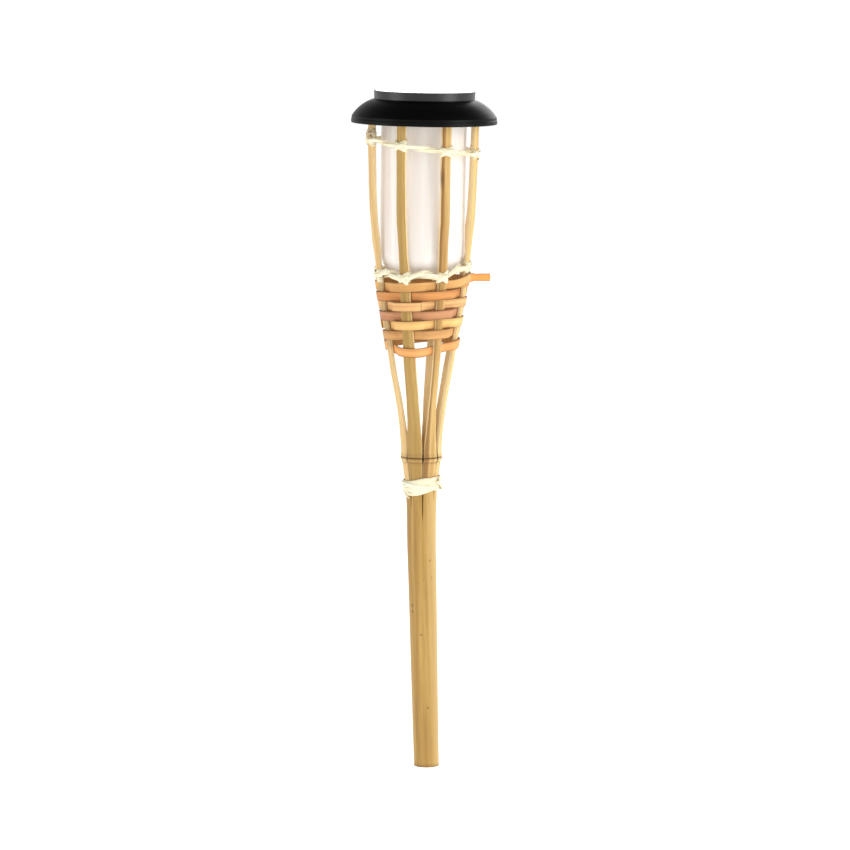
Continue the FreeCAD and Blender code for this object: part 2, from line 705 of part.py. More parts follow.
def diffuser():
    """The frosted cup: a straight wall, a rounded bottom and three bayonet lugs at its mouth."""
    bottom = -RIM_ABOVE_SEAT

    def cup(r, low, high, rounding):
        k = rounding * (1 - math.sqrt(0.5))
        return revolved(
            [
                line((0, low), (r - rounding, low)),
                arc((r - rounding, low), (r - k, low + k), (r, low + rounding)),
                line((r, low + rounding), (r, high)),
                line((r, high), (0, high)),
                line((0, high), (0, low)),
            ]
        )

    outside = cup(DIFFUSER_R, bottom, DIFFUSER_TOP, DIFFUSER_ROUND)
    for k in range(LUG_COUNT):
        middle = 360 * k / LUG_COUNT + 90
        lug = ring(DIFFUSER_R - 0.5, DIFFUSER_R + 1.0, 2.2, 3.8, middle - LUG_ANGLE / 2, LUG_ANGLE)
        outside = outside.fuse(lug)
    wall = DIFFUSER_WALL
    inside = cup(DIFFUSER_R - wall, bottom + wall, DIFFUSER_TOP + 1, DIFFUSER_ROUND - wall)
    return outside.cut(inside).removeSplitter()


# ---------------------------------------------------------------- lamp: solar panel and electronics


def solar_cells():
    """Four dark cells side by side on the board."""
    pitch = BOARD_SIDE / CELL_COUNT
    z0 = LEDGE_Z - CELL_THICK - 0.05
    half_y = BOARD_SIDE / 2 - 0.8
    cells = []
    for k in range(CELL_COUNT):
        x0 = -BOARD_SIDE / 2 + k * pitch + 0.3
        cells.append(box(x0, x0 + pitch - 0.6, -half_y, half_y, z0, z0 + CELL_THICK))
    return Part.makeCompound(cells)


def solar_board():
    top = LEDGE_Z - CELL_THICK - 0.05
    half = BOARD_SIDE / 2
    return box(-half, half, -half, half, top - BOARD_THICK, top - 0.02)


def panel_window():
    """The clear disc over the cells, flush with the collar."""
    disc = tube(RECESS_R - 0.15, LEDGE_Z, LEDGE_Z + WINDOW_THICK)
    top_edges = [e for e in disc.Edges if abs(e.CenterOfMass.z - CAP_HEIGHT) < 1e-6]
    return disc.makeChamfer(0.25, top_edges)


def battery():
    """A short rechargeable cell lying along X, positive end to the right."""
    left = -BATTERY_LENGTH / 2 + 0.9
    along = Vector(1, 0, 0)
    body = Part.makeCylinder(BATTERY_R, BATTERY_LENGTH, Vector(left, CELL_Y, CELL_Z), along)
    body = body.makeFillet(0.5, [e for e in body.Edges if e.Curve.TypeId == "Part::GeomCircle"])
    end = Vector(left + BATTERY_LENGTH - 0.2, CELL_Y, CELL_Z)
    nub = Part.makeCylinder(1.7, BATTERY_NUB + 0.2, end, along)
    return body.fuse(nub).removeSplitter()


def battery_contact():
    """The flat plate that the battery's positive end meets."""
    wall = TROUGH_LENGTH / 2 - TROUGH_WALL
    plate = box(wall - 0.55, wall - 0.1, CELL_Y - 4.5, CELL_Y + 4.5, 1.0, TROUGH_TOP)
    tag = box(wall - 0.55, wall - 0.1, CELL_Y - 1.0, CELL_Y + 1.0, TROUGH_TOP - 0.1, TROUGH_TOP + 1.4)
    return plate.fuse(tag).removeSplitter()


def battery_spring():
    """The coil that presses on the battery's negative end, with its backing plate."""
    wall = -TROUGH_LENGTH / 2 + TROUGH_WALL
    plate = box(wall + 0.1, wall + 0.5, CELL_Y - 4.5, CELL_Y + 4.5, 1.0, TROUGH_TOP)
    tag = box(wall + 0.1, wall + 0.5, CELL_Y - 1.0, CELL_Y + 1.0, TROUGH_TOP - 0.1, TROUGH_TOP + 1.4)
    reach = -BATTERY_LENGTH / 2 + 0.9 - (wall + 0.5)
    coil_r, wire_r, turns, steps = 2.9, 0.3, 2.5, 40
    points = []
    for i in range(steps + 1):
        a = 2 * math.pi * turns * i / steps
        x = wall + 0.45 + wire_r + (reach - 2 * wire_r - 0.05) * i / steps
        points.append(Vector(x, CELL_Y + coil_r * math.cos(a), CELL_Z + coil_r * math.sin(a)))
    coil = swept(points, wire_r)
    return Part.makeCompound([plate.fuse(tag).removeSplitter(), coil])


def battery_cover():
    """The cover under the battery, with two snap tongues and a finger rib."""
    top = TROUGH_BOTTOM - COVER_GAP
    half_x, half_y = TROUGH_LENGTH / 2 - 0.2, TROUGH_WIDTH / 2 - 0.2
    cover = box(-half_x, half_x, CELL_Y - half_y, CELL_Y + half_y, top - COVER_THICK, top)
    for side in (-1, 1):
        y = CELL_Y + side * 4.6
        cover = cover.fuse(box(-4, 4, y - 0.5, y + 0.5, top - 0.1, 1.0))
    rib_top = top - COVER_THICK + 0.1
    cover = cover.fuse(box(-4, 4, CELL_Y - 0.6, CELL_Y + 0.6, rib_top - 1.0, rib_top))
    return cover.removeSplitter()


def circuit_board():
    return box(-13.0, 13.0, -17.0, 2.8, PCB_Z, PCB_Z + PCB_THICK)


def board_components():
    """The charging chip, its coil and three small resistors."""
    top = PCB_Z + PCB_THICK
    chip = box(-9.0, -5.0, -8.0, -3.5, top, top + 1.4)
    coil = tube(2.4, top, top + 3.0, 7.5, -5.5)
    small = [box(-1.0, 1.0, y, y + 1.2, top, top + 0.6) for y in (-14.5, -11.5, -8.5)]
    return Part.makeCompound([chip, coil, *small])


def led():
    """A round light-emitting diode that points down through the tray."""
    flange_low = TRAY_Z + TRAY_THICK + 0.1
    dome = LED_DOME_Z
    k = LED_R * math.sqrt(0.5)
    lamp = revolved(
        [
            arc((0, dome - LED_R), (k, dome - k), (LED_R, dome)),
            line((LED_R, dome), (LED_R, flange_low)),
            line((LED_R, flange_low), (LED_R + 0.4, flange_low)),
            line((LED_R + 0.4, flange_low), (LED_R + 0.4, flange_low + 1.0)),
            line((LED_R + 0.4, flange_low + 1.0), (0, flange_low + 1.0)),
            line((0, flange_low + 1.0), (0, dome - LED_R)),
        ]
    )
    for x in (-1.27, 1.27):
        lamp = lamp.fuse(tube(0.25, flange_low + 0.9, PCB_Z, x, 0))
    return lamp.removeSplitter()


def switch_body():
    low = TRAY_Z - 0.5
    body = box(-4.3, 4.3, SWITCH_Y - 2.0, SWITCH_Y + 2.0, low, PCB_Z)
    return body.cut(box(-2.2, 2.2, SWITCH_Y - 1.15, SWITCH_Y + 1.15, low - 1, low + 1.2))


def switch_knob():
    """The slider, at its left end."""
    low = TRAY_Z - 0.5
    knob = box(-2.0, 0.0, SWITCH_Y - 1.0, SWITCH_Y + 1.0, low - 2.2, low + 1.0)
    for k in range(3):
        x = -1.6 + 0.6 * k
        knob = knob.cut(box(x - 0.12, x + 0.12, SWITCH_Y - 2, SWITCH_Y + 2, low - 3, low - 2.0))
    return knob


def rounded_tube(points, radius):
    """A round tube along straight runs joined by tangent arcs."""
    edges = []
    start = points[0]
    for before, corner, after in zip(points, points[1:], points[2:]):
        a, b = (before - corner).normalize(), (after - corner).normalize()
        turn = math.pi - a.getAngle(b)
        reach = 0.45 * min((before - corner).Length, (after - corner).Length)
        p, q = corner + a * reach, corner + b * reach
        bend = reach / math.tan(turn / 2)
        to_centre = (a + b).normalize() * (bend / math.cos(turn / 2))
        centre = corner + to_centre
        middle = centre - to_centre.normalize() * bend
        edges.append(Part.LineSegment(start, p).toShape())
        edges.append(Part.Arc(p, middle, q).toShape())
        start = q
    edges.append(Part.LineSegment(start, points[-1]).toShape())
    profile = Part.Wire([Part.makeCircle(radius, points[0], points[1] - points[0])])
    return Part.Wire(edges).makePipeShell([profile], True, True)


def panel_wires():
    """Two insulated wires from the solar board down to the circuit board."""
    high = LEDGE_Z - CELL_THICK - 0.05 - BOARD_THICK
    low = PCB_Z + PCB_THICK
    wires = []
    for x in (-4.0, 4.0):
        end_x = 0.8 * x
        route = [Vector(x, 6, high), Vector(x, 6, high - 3.2)]
        route += [Vector(end_x, -13, low + 3.6), Vector(end_x, -13, low)]
        wires.append(rounded_tube(route, WIRE_R))
    return Part.makeCompound(wires)


def battery_wires():
    """Two insulated wires from the battery's contacts over to the circuit board."""
    low = PCB_Z + PCB_THICK
    high = TROUGH_TOP + 1.4
    wires = []
    for side in (-1, 1):
        x = side * (TROUGH_LENGTH / 2 - TROUGH_WALL - 0.35)
        end_x = side * 11.5
        top = high + 2.2
        route = [Vector(x, CELL_Y, high), Vector(x, CELL_Y, top)]
        route += [Vector(end_x, 0, top), Vector(end_x, 0, low)]
        wires.append(rounded_tube(route, WIRE_R))
    return Part.makeCompound(wires)


# ---------------------------------------------------------------- everything


def main():
    os.makedirs("parts", exist_ok=True)
    save("bamboo_pole", bamboo_pole())
    for k in range(STAVE_COUNT):
        save(f"stave_{k + 1}", stave(k))
    for k in range(len(ROWS)):
        save(f"weave_row_{k + 1}", weave_row(k))
    save("upper_lashing", upper_lashing())
    save("lower_lashing", lower_lashing())
    save("pole_lashing", pole_lashing())

    save_lamp("cap_shell", cap_shell())
    save_lamp("panel_window", panel_window())
    save_lamp("solar_cells", solar_cells())
    save_lamp("solar_board", solar_board())
    save_lamp("lamp_tray", lamp_tray())
    save_lamp("tray_screws", tray_screws())
    save_lamp("battery", battery())
    save_lamp("battery_contact", battery_contact())
    save_lamp("battery_spring", battery_spring())
    save_lamp("battery_cover", battery_cover())
    save_lamp("circuit_board", circuit_board())
    save_lamp("board_components", board_components())
    save_lamp("led", led())
    save_lamp("switch_body", switch_body())
    save_lamp("switch_knob", switch_knob())
    save_lamp("panel_wires", panel_wires())
    save_lamp("battery_wires", battery_wires())
    save_lamp("diffuser", diffuser())

    rim = LAMP_PLACE.multVec(Vector(0, 0, 0))
    print("rim centre", rim, "lamp axis", LAMP_PLACE.Rotation.multVec(Vector(0, 0, 1)))


main()
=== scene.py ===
import math

import bpy
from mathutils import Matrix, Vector, noise


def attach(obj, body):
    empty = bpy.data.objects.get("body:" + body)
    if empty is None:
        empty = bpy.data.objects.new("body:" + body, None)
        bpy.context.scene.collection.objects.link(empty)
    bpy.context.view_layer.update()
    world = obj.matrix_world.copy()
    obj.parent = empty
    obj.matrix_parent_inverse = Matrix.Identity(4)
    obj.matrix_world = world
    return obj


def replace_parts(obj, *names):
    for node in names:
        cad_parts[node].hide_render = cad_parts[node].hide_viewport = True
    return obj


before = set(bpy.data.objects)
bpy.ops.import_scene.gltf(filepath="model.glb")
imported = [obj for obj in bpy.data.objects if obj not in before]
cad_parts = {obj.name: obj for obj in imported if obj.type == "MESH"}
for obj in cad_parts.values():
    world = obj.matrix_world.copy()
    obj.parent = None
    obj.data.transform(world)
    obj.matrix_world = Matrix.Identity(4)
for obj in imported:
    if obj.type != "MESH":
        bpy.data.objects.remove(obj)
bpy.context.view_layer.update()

# Looks for the solar garden torch. Lengths here are in millimetres until a mesh is made, and angles round the
# head are in degrees from the front (-Y), growing towards +X.

MM = 0.001

# ---- shape of the cage

HEAD_X = -3.1  # the pole's top stands this far off the upright through its foot
LEAN_TOP_Z = 140.0  # the pole leans up to here
GROUND_DEPTH = 157.5
SPLIT_Z = 176.0  # the staves start here
SPREAD_Z = 225.0  # above this each stave has its own width
NODE_Z = 195.0  # the culm's ring
SHARE_LOW_Z = 250.0  # between these a stave's share of the common width goes from low to high
SHARE_HIGH_Z = 330.0
TWIST_LOW_Z = 316.0  # from here to SHARE_HIGH_Z two staves turn a little
STAVE_TOP_Z = 405.2
STAVE_END_Z = 406.2  # the plane of the staves' ends, on the lamp's axis
LAMP_SLOPE = 0.0175  # that plane falls to the right by this much
POLE_R_GROUND = 7.8
POLE_SHOULDER_R = 9.1
POLE_SHOULDER_Z = 158.0
POLE_R_TOP = 9.6
# the staves lie edge to edge in their sectors up to CLOSED_Z, and are free of each other from OPEN_Z
CLOSED_Z = 186.0
OPEN_Z = 214.0
EVEN_SECTOR = 45.0
SPLIT_HALF_GAP = 0.24
FREE_CROWN_R = 8.2
# sectors of the culm, directions under the cap, and shares of the common width, low and high
SECTOR_EDGES = (-88.0, -44.0, 4.0, 54.0, 98.0, 146.0, 178.0, 229.0, 272.0)
STAVE_TOP_ANGLES = (-70.4, -23.8, 24.4, 72.0, 111.0, 160.0, 202.0, 248.0)
STAVE_WIDTH_SHARES = (
    (1.0, 1.18),
    (1.24, 0.95),
    (0.74, 1.03),
    (0.9, 0.95),
    (0.92, 1.0),
    (0.92, 0.94),
    (1.0, 1.0),
    (0.95, 0.96),
)
STAVE_TWISTS = (12.0, 0.0, 0.0, -6.5, 0.0, 0.0, 0.0, 0.0)
CRACK_DEPTHS = (5.0, 9.0, 19.0, 4.0, 12.0, 6.0, 14.0, 8.0)
# height, outer radius, stave thickness, stave width
CAGE_SHAPE = (
    (176.0, 9.6, 3.3, 6.9),
    (184.0, 10.9, 3.2, 7.3),
    (195.0, 12.3, 3.1, 8.4),
    (208.0, 13.3, 2.9, 7.6),
    (224.0, 15.3, 2.7, 6.8),
    (250.0, 19.9, 2.5, 6.3),
    (275.0, 23.9, 2.4, 5.8),
    (300.0, 28.2, 2.4, 5.7),
    (325.0, 31.2, 2.5, 5.8),
    (355.0, 33.9, 2.5, 5.9),
    (405.2, 35.3, 2.5, 6.2),
)
# height, x of the cage's middle
HEAD_AXIS = (
    (176.0, -3.1),
    (205.0, -3.3),
    (243.0, -3.4),
    (275.0, -3.1),
    (310.0, -2.8),
    (355.0, -2.45),
    (405.2, -1.7),
)
# height, width, and the stave after which the strip starts
ROWS = (
    (303.6, 5.9, 4),
    (297.5, 5.95, 5),
    (291.5, 5.9, 2),
    (285.5, 5.9, 7),
    (279.5, 5.95, 8),
    (273.3, 5.95, 5),
    (264.6, 6.0, 4),
)
STAVES = 8
STRIP_THICK = 0.7
STRIP_GAP = 0.18
ROW_STEPS = 240
# places along a row are counted in staves: a strip starts and ends this far past its stave, one turn apart
LAP_START = 0.2
LAP_END = 0.44
LAP_EASE = 1.2
# the lowest row sags at this place and rises at the back
LOOSE_ROW_AT = 2.2
LOOSE_ROW_DIP = 2.2
LOOSE_ROW_BACK = 2.6
# the top row's end leaves the basket as a tail
TAIL_START = -0.38
TAIL_LEAVES = 0.12
TAIL_STEPS = 46
WEAVE_TILT = math.radians(2.7)
TAIL_LENGTH = 23.0
TAIL_HEADING = 54.0
TAIL_WIDTH = 4.6
TAIL_RISE = 2.5
TAIL_FALL = 0.07
UPPER_LASHING_Z = 388.0
UPPER_LASHING_TILT = -7.5
LOWER_LASHING_HEIGHTS = (309.2, 308.6, 309.3, 314.0, 313.6, 312.0, 310.5, 309.6)


def smooth_table(z, column, table=CAGE_SHAPE):
    """A monotone cubic through one column of a table."""
    z = min(max(z, table[0][0]), table[-1][0])
    i = max(k for k in range(len(table) - 1) if table[k][0] <= z)

    def slope(k):
        if k == 0 or k == len(table) - 1:
            j = min(k, len(table) - 2)
            return (table[j + 1][column] - table[j][column]) / (table[j + 1][0] - table[j][0])
        before = (table[k][column] - table[k - 1][column]) / (table[k][0] - table[k - 1][0])
        after = (table[k + 1][column] - table[k][column]) / (table[k + 1][0] - table[k][0])
        return 0.0 if before * after <= 0 else 2 * before * after / (before + after)

    span = table[i + 1][0] - table[i][0]
    t = (z - table[i][0]) / span
    h01 = 3 * t**2 - 2 * t**3
    rise = (t**3 - 2 * t**2 + t) * slope(i) + (t**3 - t**2) * slope(i + 1)
    return (1 - h01) * table[i][column] + h01 * table[i + 1][column] + span * rise


def cage_radius(z):
    return smooth_table(z, 1)


def stave_thickness(z):
    return smooth_table(z, 2)


def smoothstep(low, high, x):
    t = min(max((x - low) / (high - low), 0.0), 1.0)
    return t * t * (3 - 2 * t)


def stave_angle(index, z):
    low = (SECTOR_EDGES[index] + SECTOR_EDGES[index + 1]) / 2
    return low + (STAVE_TOP_ANGLES[index] - low) * smoothstep(SPLIT_Z, STAVE_TOP_Z, z)


def outward(angle):
    a = math.radians(angle)
    return Vector((math.sin(a), -math.cos(a), 0))


def sideways(angle):
    a = math.radians(angle)
    return Vector((math.cos(a), math.sin(a), 0))


def head_axis_x(z):
    return smooth_table(z, 1, HEAD_AXIS)


def head_point(angle, radius, z):
    return outward(angle) * radius + Vector((head_axis_x(z), 0, z))


def angle_of(position, z):
    """Position 1.0 is on the first stave, 1.5 half way to the second, and so on round."""
    turns, within = divmod(position - 1, STAVES)
    k = int(within)
    here = stave_angle(k, z)
    after = stave_angle(k + 1, z) if k < STAVES - 1 else stave_angle(0, z) + 360
    return 360 * turns + here + (within - k) * (after - here)


def lean_up(angle, z):
    slope = (cage_radius(z + 2) - cage_radius(z - 2)) / 4
    return (outward(angle) * slope + Vector((0, 0, 1))).normalized()


def stave_twist(index, z):
    """How far a stave is turned about its own length."""
    return STAVE_TWISTS[index] * smoothstep(TWIST_LOW_Z, SHARE_HIGH_Z, z)


def bell(offset, reach):
    return math.exp(-((offset / reach) ** 2))


def wander(seed, t):
    """Smooth noise between about -1 and 1 along t."""
    return noise.noise(Vector((seed * 13.7 + 3.1, t, seed * 5.3 - 1.7))) * 1.6


# ---- mesh making


SHARP_ANGLE = 38


class Shape:
    """Gathers one mesh, with three values for each point.

    grain is its place in the fibre, depth is 0 on the skin and 1 in split wood, and the third value is how
    brown: real marks, and painted shade in cracks, splits and the weave.
    """

    def __init__(self):
        self.points = []
        self.faces = []
        self.grain = []
        self.depth = []
        self.stain_and_shade = []

    def tube(self, rings, grain, depth, stain_and_shade):
        """Joins closed rings of equal count and closes both ends. The lists hold a value for each point."""
        first = len(self.points)
        count = len(rings[0])
        for ring, grains, depths, stain_and_shade_lists in zip(rings, grain, depth, stain_and_shade):
            self.points.extend(ring)
            self.grain.extend(grains)
            self.depth.extend(depths)
            self.stain_and_shade.extend(stain_and_shade_lists)
        for i in range(len(rings) - 1):
            a, b = first + i * count, first + (i + 1) * count
            for j in range(count):
                k = (j + 1) % count
                self.faces.append((a + j, a + k, b + k, b + j))
        last = first + (len(rings) - 1) * count
        self.faces.append(tuple(first + j for j in reversed(range(count))))
        self.faces.append(tuple(last + j for j in range(count)))

    def object(self, name, material, body):
        """The gathered mesh as an object that moves with a body."""
        mesh = bpy.data.meshes.new(name)
        mesh.from_pydata([tuple(p * MM) for p in self.points], [], self.faces)
        for label, kind, field, values in (
            ("grain", "FLOAT_VECTOR", "vector", [c for g in self.grain for c in g]),
            ("depth", "FLOAT", "value", self.depth),
            ("stain_and_shade", "FLOAT", "value", self.stain_and_shade),
        ):
            mesh.attributes.new(label, kind, "POINT").data.foreach_set(field, values)
        mesh.materials.append(material)
        mesh.polygons.foreach_set("use_smooth", [True] * len(mesh.polygons))
        mesh.set_sharp_from_angle(angle=math.radians(SHARP_ANGLE))
        mesh.validate()
        made = bpy.data.objects.new(name, mesh)
        bpy.context.scene.collection.objects.link(made)
        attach(made, body)
        return made


# ---- materials


def srgb(r, g, b):
    def linear(c):
        c /= 255
        return c / 12.92 if c <= 0.04045 else ((c + 0.055) / 1.055) ** 2.4

    return (linear(r), linear(g), linear(b), 1.0)


class Tree:
    """A short way to write a material's nodes."""

    def __init__(self, name):
        self.material = bpy.data.materials.new(name)
        self.material.use_nodes = True
        self.nodes = self.material.node_tree.nodes
        self.links = self.material.node_tree.links
        self.shader = self.nodes["Principled BSDF"]

    def add(self, kind, **inputs):
        node = self.nodes.new(kind)
        for name, value in inputs.items():
            self.put(node, name, value)
        return node

    def put(self, node, name, value):
        """Sets an input by its name, or by its number after an underscore."""
        key = int(name[1:]) if name[0] == "_" else name.replace("_", " ")
        self.feed(node.inputs[key], value)

    def feed(self, socket, value):
        if isinstance(value, bpy.types.NodeSocket):
            self.links.new(value, socket)
        else:
            socket.default_value = value

    def place(self):
        return self.nodes.new("ShaderNodeTexCoord").outputs["Object"]

    def attribute(self, name, output):
        node = self.nodes.new("ShaderNodeAttribute")
        node.attribute_name = name
        return node.outputs[output]

    def scaled(self, vector, scale, shift=(0, 0, 0)):
        node = self.add("ShaderNodeMapping", Vector=vector, Scale=scale, Location=shift)
        return node.outputs["Vector"]

    def noise(self, vector, detail, roughness):
        node = self.add("ShaderNodeTexNoise", Vector=vector, Scale=1.0, Detail=detail, Roughness=roughness)
        return node.outputs["Fac"]

    def ramp(self, fac, stops):
        node = self.nodes.new("ShaderNodeValToRGB")
        self.links.new(fac, node.inputs["Fac"])
        marks = node.color_ramp.elements
        while len(marks) < len(stops):
            marks.new(0.5)
        for mark, (place, colour) in zip(marks, stops):
            mark.position = place
            mark.color = colour if isinstance(colour, tuple) else (colour, colour, colour, 1.0)
        return node.outputs["Color"]

    def mix(self, fac, a, b, blend="MIX"):
        node = self.nodes.new("ShaderNodeMix")
        node.data_type = "RGBA"
        node.blend_type = blend
        for socket, value in ((node.inputs[0], fac), (node.inputs[6], a), (node.inputs[7], b)):
            self.feed(socket, value)
        return node.outputs[2]

    def math(self, operation, a, b=0.0):
        node = self.nodes.new("ShaderNodeMath")
        node.operation = operation
        for socket, value in zip(node.inputs, (a, b)):
            self.feed(socket, value)
        return node.outputs[0]

    def bump(self, height, depth_mm, strength):
        node = self.add("ShaderNodeBump", Height=height, Distance=depth_mm * MM, Strength=strength)
        self.links.new(node.outputs["Normal"], self.shader.inputs["Normal"])

    def set(self, **values):
        for name, value in values.items():
            self.put(self.shader, name, value)
        return self.material


def bamboo(name, skin, dark, light, wood, seed, rough=0.5, streak=1.0, edge_tint_and_side_light=None):
    """Split bamboo: a smooth streaked skin, and paler, more fibrous wood where it was split."""
    fleck, darkening = srgb(116, 78, 44), srgb(84, 54, 26)
    t = Tree(name)
    grain = t.attribute("grain", "Vector")
    broad = t.noise(t.scaled(grain, (0.32, 0.32, 0.011), (seed, 2.3 * seed, 0)), 4, 0.55)
    fine = t.noise(t.scaled(grain, (2.1, 2.1, 0.045), (0, seed, seed)), 4, 0.6)
    hair = t.noise(t.scaled(grain, (7.0, 7.0, 0.12), (seed, 0, 0)), 2, 0.5)
    colour = t.ramp(broad, [(0.3, dark), (0.5, skin), (0.72, light)])
    fine_tone = t.ramp(fine, [(0.3, 0.8), (0.5, 1.0), (0.75, 1.08)])
    colour = t.mix(0.55 * streak, colour, fine_tone, "MULTIPLY")
    hair_tone = t.ramp(hair, [(0.3, 0.84), (0.55, 1.0)])
    colour = t.mix(0.5 * streak, colour, hair_tone, "MULTIPLY")
    if edge_tint_and_side_light:
        # one edge of the skin is tinted: a real brown edge on the third stave, and on the culm a painted
        # highlight down its right side
        side = t.add("ShaderNodeSeparateXYZ", _0=grain).outputs[0]
        low, high, tint, most = edge_tint_and_side_light
        span = t.math("DIVIDE", t.math("SUBTRACT", side, low), high - low)
        amount = t.math("MULTIPLY", t.ramp(span, [(0.0, 0.0), (1.0, 1.0)]), most)
        colour = t.mix(amount, colour, tint)
    wood_tone = t.mix(0.6, wood, t.ramp(fine, [(0.3, 0.7), (0.6, 1.06)]), "MULTIPLY")
    depth = t.attribute("depth", "Fac")
    colour = t.mix(t.ramp(depth, [(0.12, 0.0), (0.45, 1.0)]), colour, wood_tone)
    marks = t.noise(t.scaled(grain, (0.5, 0.5, 0.22), (seed, seed, 9)), 2, 0.5)
    colour = t.mix(t.ramp(marks, [(0.735, 0.0), (0.78, 0.6)]), colour, fleck)
    # darker brown by the per-point value: real node lines, marks and spots, and painted shade in cracks,
    # splits and the weave
    colour = t.mix(t.attribute("stain_and_shade", "Fac"), colour, darkening)
    t.bump(t.mix(0.5, fine, hair), 0.22, 0.55)
    roughness = t.math("ADD", t.math("MULTIPLY", fine, 0.25), rough - 0.12)
    t.shader.inputs["Specular IOR Level"].default_value = 0.28
    return t.set(Base_Color=colour, Roughness=roughness)


def raffia(name, base, dark, seed):
    """Dried palm fibre: pale, with fine lines along it and a soft sheen."""
    t = Tree(name)
    grain = t.attribute("grain", "Vector")
    broad = t.noise(t.scaled(grain, (0.5, 0.5, 0.05), (seed, 0, seed)), 3, 0.55)
    lines = t.noise(t.scaled(grain, (5.5, 5.5, 0.09), (0, seed, 0)), 3, 0.55)
    colour = t.ramp(broad, [(0.3, dark), (0.5, base), (0.75, srgb(255, 251, 234))])
    colour = t.mix(0.5, colour, t.ramp(lines, [(0.32, 0.7), (0.55, 1.0)]), "MULTIPLY")
    colour = t.mix(t.attribute("stain_and_shade", "Fac"), colour, srgb(172, 128, 72))
    t.bump(lines, 0.16, 0.5)
    return t.set(Base_Color=colour, Roughness=0.62)


def moulded(name, colour, rough, grain_size=0.4, depth_mm=0.02, level=0.5):
    """Moulded plastic with a fine skin texture and slight variation in tone."""
    t = Tree(name)
    place = t.place()
    fine = t.noise(t.scaled(place, (1 / (grain_size * MM),) * 3), 3, 0.6)
    cloud = t.noise(t.scaled(place, (60, 60, 60)), 3, 0.5)
    shaded = t.mix(0.12, colour, t.ramp(cloud, [(0.3, 0.55), (0.7, 1.25)]), "MULTIPLY")
    t.bump(fine, depth_mm, 0.5)
    roughness = t.math("ADD", t.math("MULTIPLY", cloud, 0.14), rough - 0.07)
    material = t.set(Base_Color=shaded, Roughness=roughness)
    t.shader.inputs["Specular IOR Level"].default_value = level
    return material


def cap_plastic():
    """Black plastic: a dull deep black skirt under a greyer, glossier collar."""
    t = Tree("cap_black_plastic")
    coords = t.nodes.new("ShaderNodeTexCoord")
    axes = t.add("ShaderNodeSeparateXYZ", _0=coords.outputs["Generated"])
    # the cap leans to the right, so the foot of the collar is higher at the left
    height = t.math("ADD", axes.outputs[2], t.math("MULTIPLY", axes.outputs[0], 0.067))
    collar = t.ramp(height, [(0.765, 0.0), (0.785, 1.0)])
    fine = t.noise(t.scaled(coords.outputs["Object"], (2850, 2850, 2850)), 3, 0.6)
    cloud = t.noise(t.scaled(coords.outputs["Object"], (60, 60, 60)), 3, 0.5)
    t.bump(fine, 0.02, 0.5)
    roughness = t.math("ADD", t.math("MULTIPLY", cloud, 0.14), 0.29)
    material = t.set(Base_Color=t.mix(collar, srgb(5, 5, 6), srgb(15, 15, 17)), Roughness=roughness)
    level = t.math("ADD", t.math("MULTIPLY", collar, 0.42), 0.1)
    t.put(t.shader, "Specular_IOR_Level", level)
    return material


def metal(name, colour, rough):
    """Bare metal, finely brushed."""
    t = Tree(name)
    place = t.place()
    fine = t.noise(t.scaled(place, (900, 2600, 900)), 3, 0.6)
    tone = t.mix(0.35, colour, t.ramp(fine, [(0.3, 0.75), (0.7, 1.1)]), "MULTIPLY")
    t.bump(fine, 0.01, 0.4)
    t.shader.inputs["Metallic"].default_value = 1.0
    return t.set(Base_Color=tone, Roughness=t.math("ADD", t.math("MULTIPLY", fine, 0.2), rough - 0.1))


# ---- bamboo pieces


def stave_half_width(index, z):
    """From the whole of its sector at the split to the stave's own width."""
    low, high = STAVE_WIDTH_SHARES[index]
    share = low + (high - low) * smoothstep(SHARE_LOW_Z, SHARE_HIGH_Z, z)
    sector = SECTOR_EDGES[index + 1] - SECTOR_EDGES[index]
    free = min((z - SPLIT_Z) / (SPREAD_Z - SPLIT_Z), 1.0)
    even = sector / EVEN_SECTOR
    half = smooth_table(z, 3) / 2 * (even + (share - even) * free)
    whole = cage_radius(z) * math.sin(math.radians(sector) / 2) - SPLIT_HALF_GAP
    return half + (whole - half) * smoothstep(OPEN_Z, CLOSED_Z, z)


def node_bump(z):
    """The ring of the culm: a ridge, a groove above it and the line of the fallen sheath."""
    d = (z - NODE_Z) / 2.9
    ridge = 0.85 * (1 - d * d) ** 2 if abs(d) < 1 else 0.0
    groove = 0.42 * bell(z - NODE_Z - 0.6, 0.42)
    sheath = 0.25 * bell(z - NODE_Z - 2.3, 0.8)
    return ridge - groove + sheath


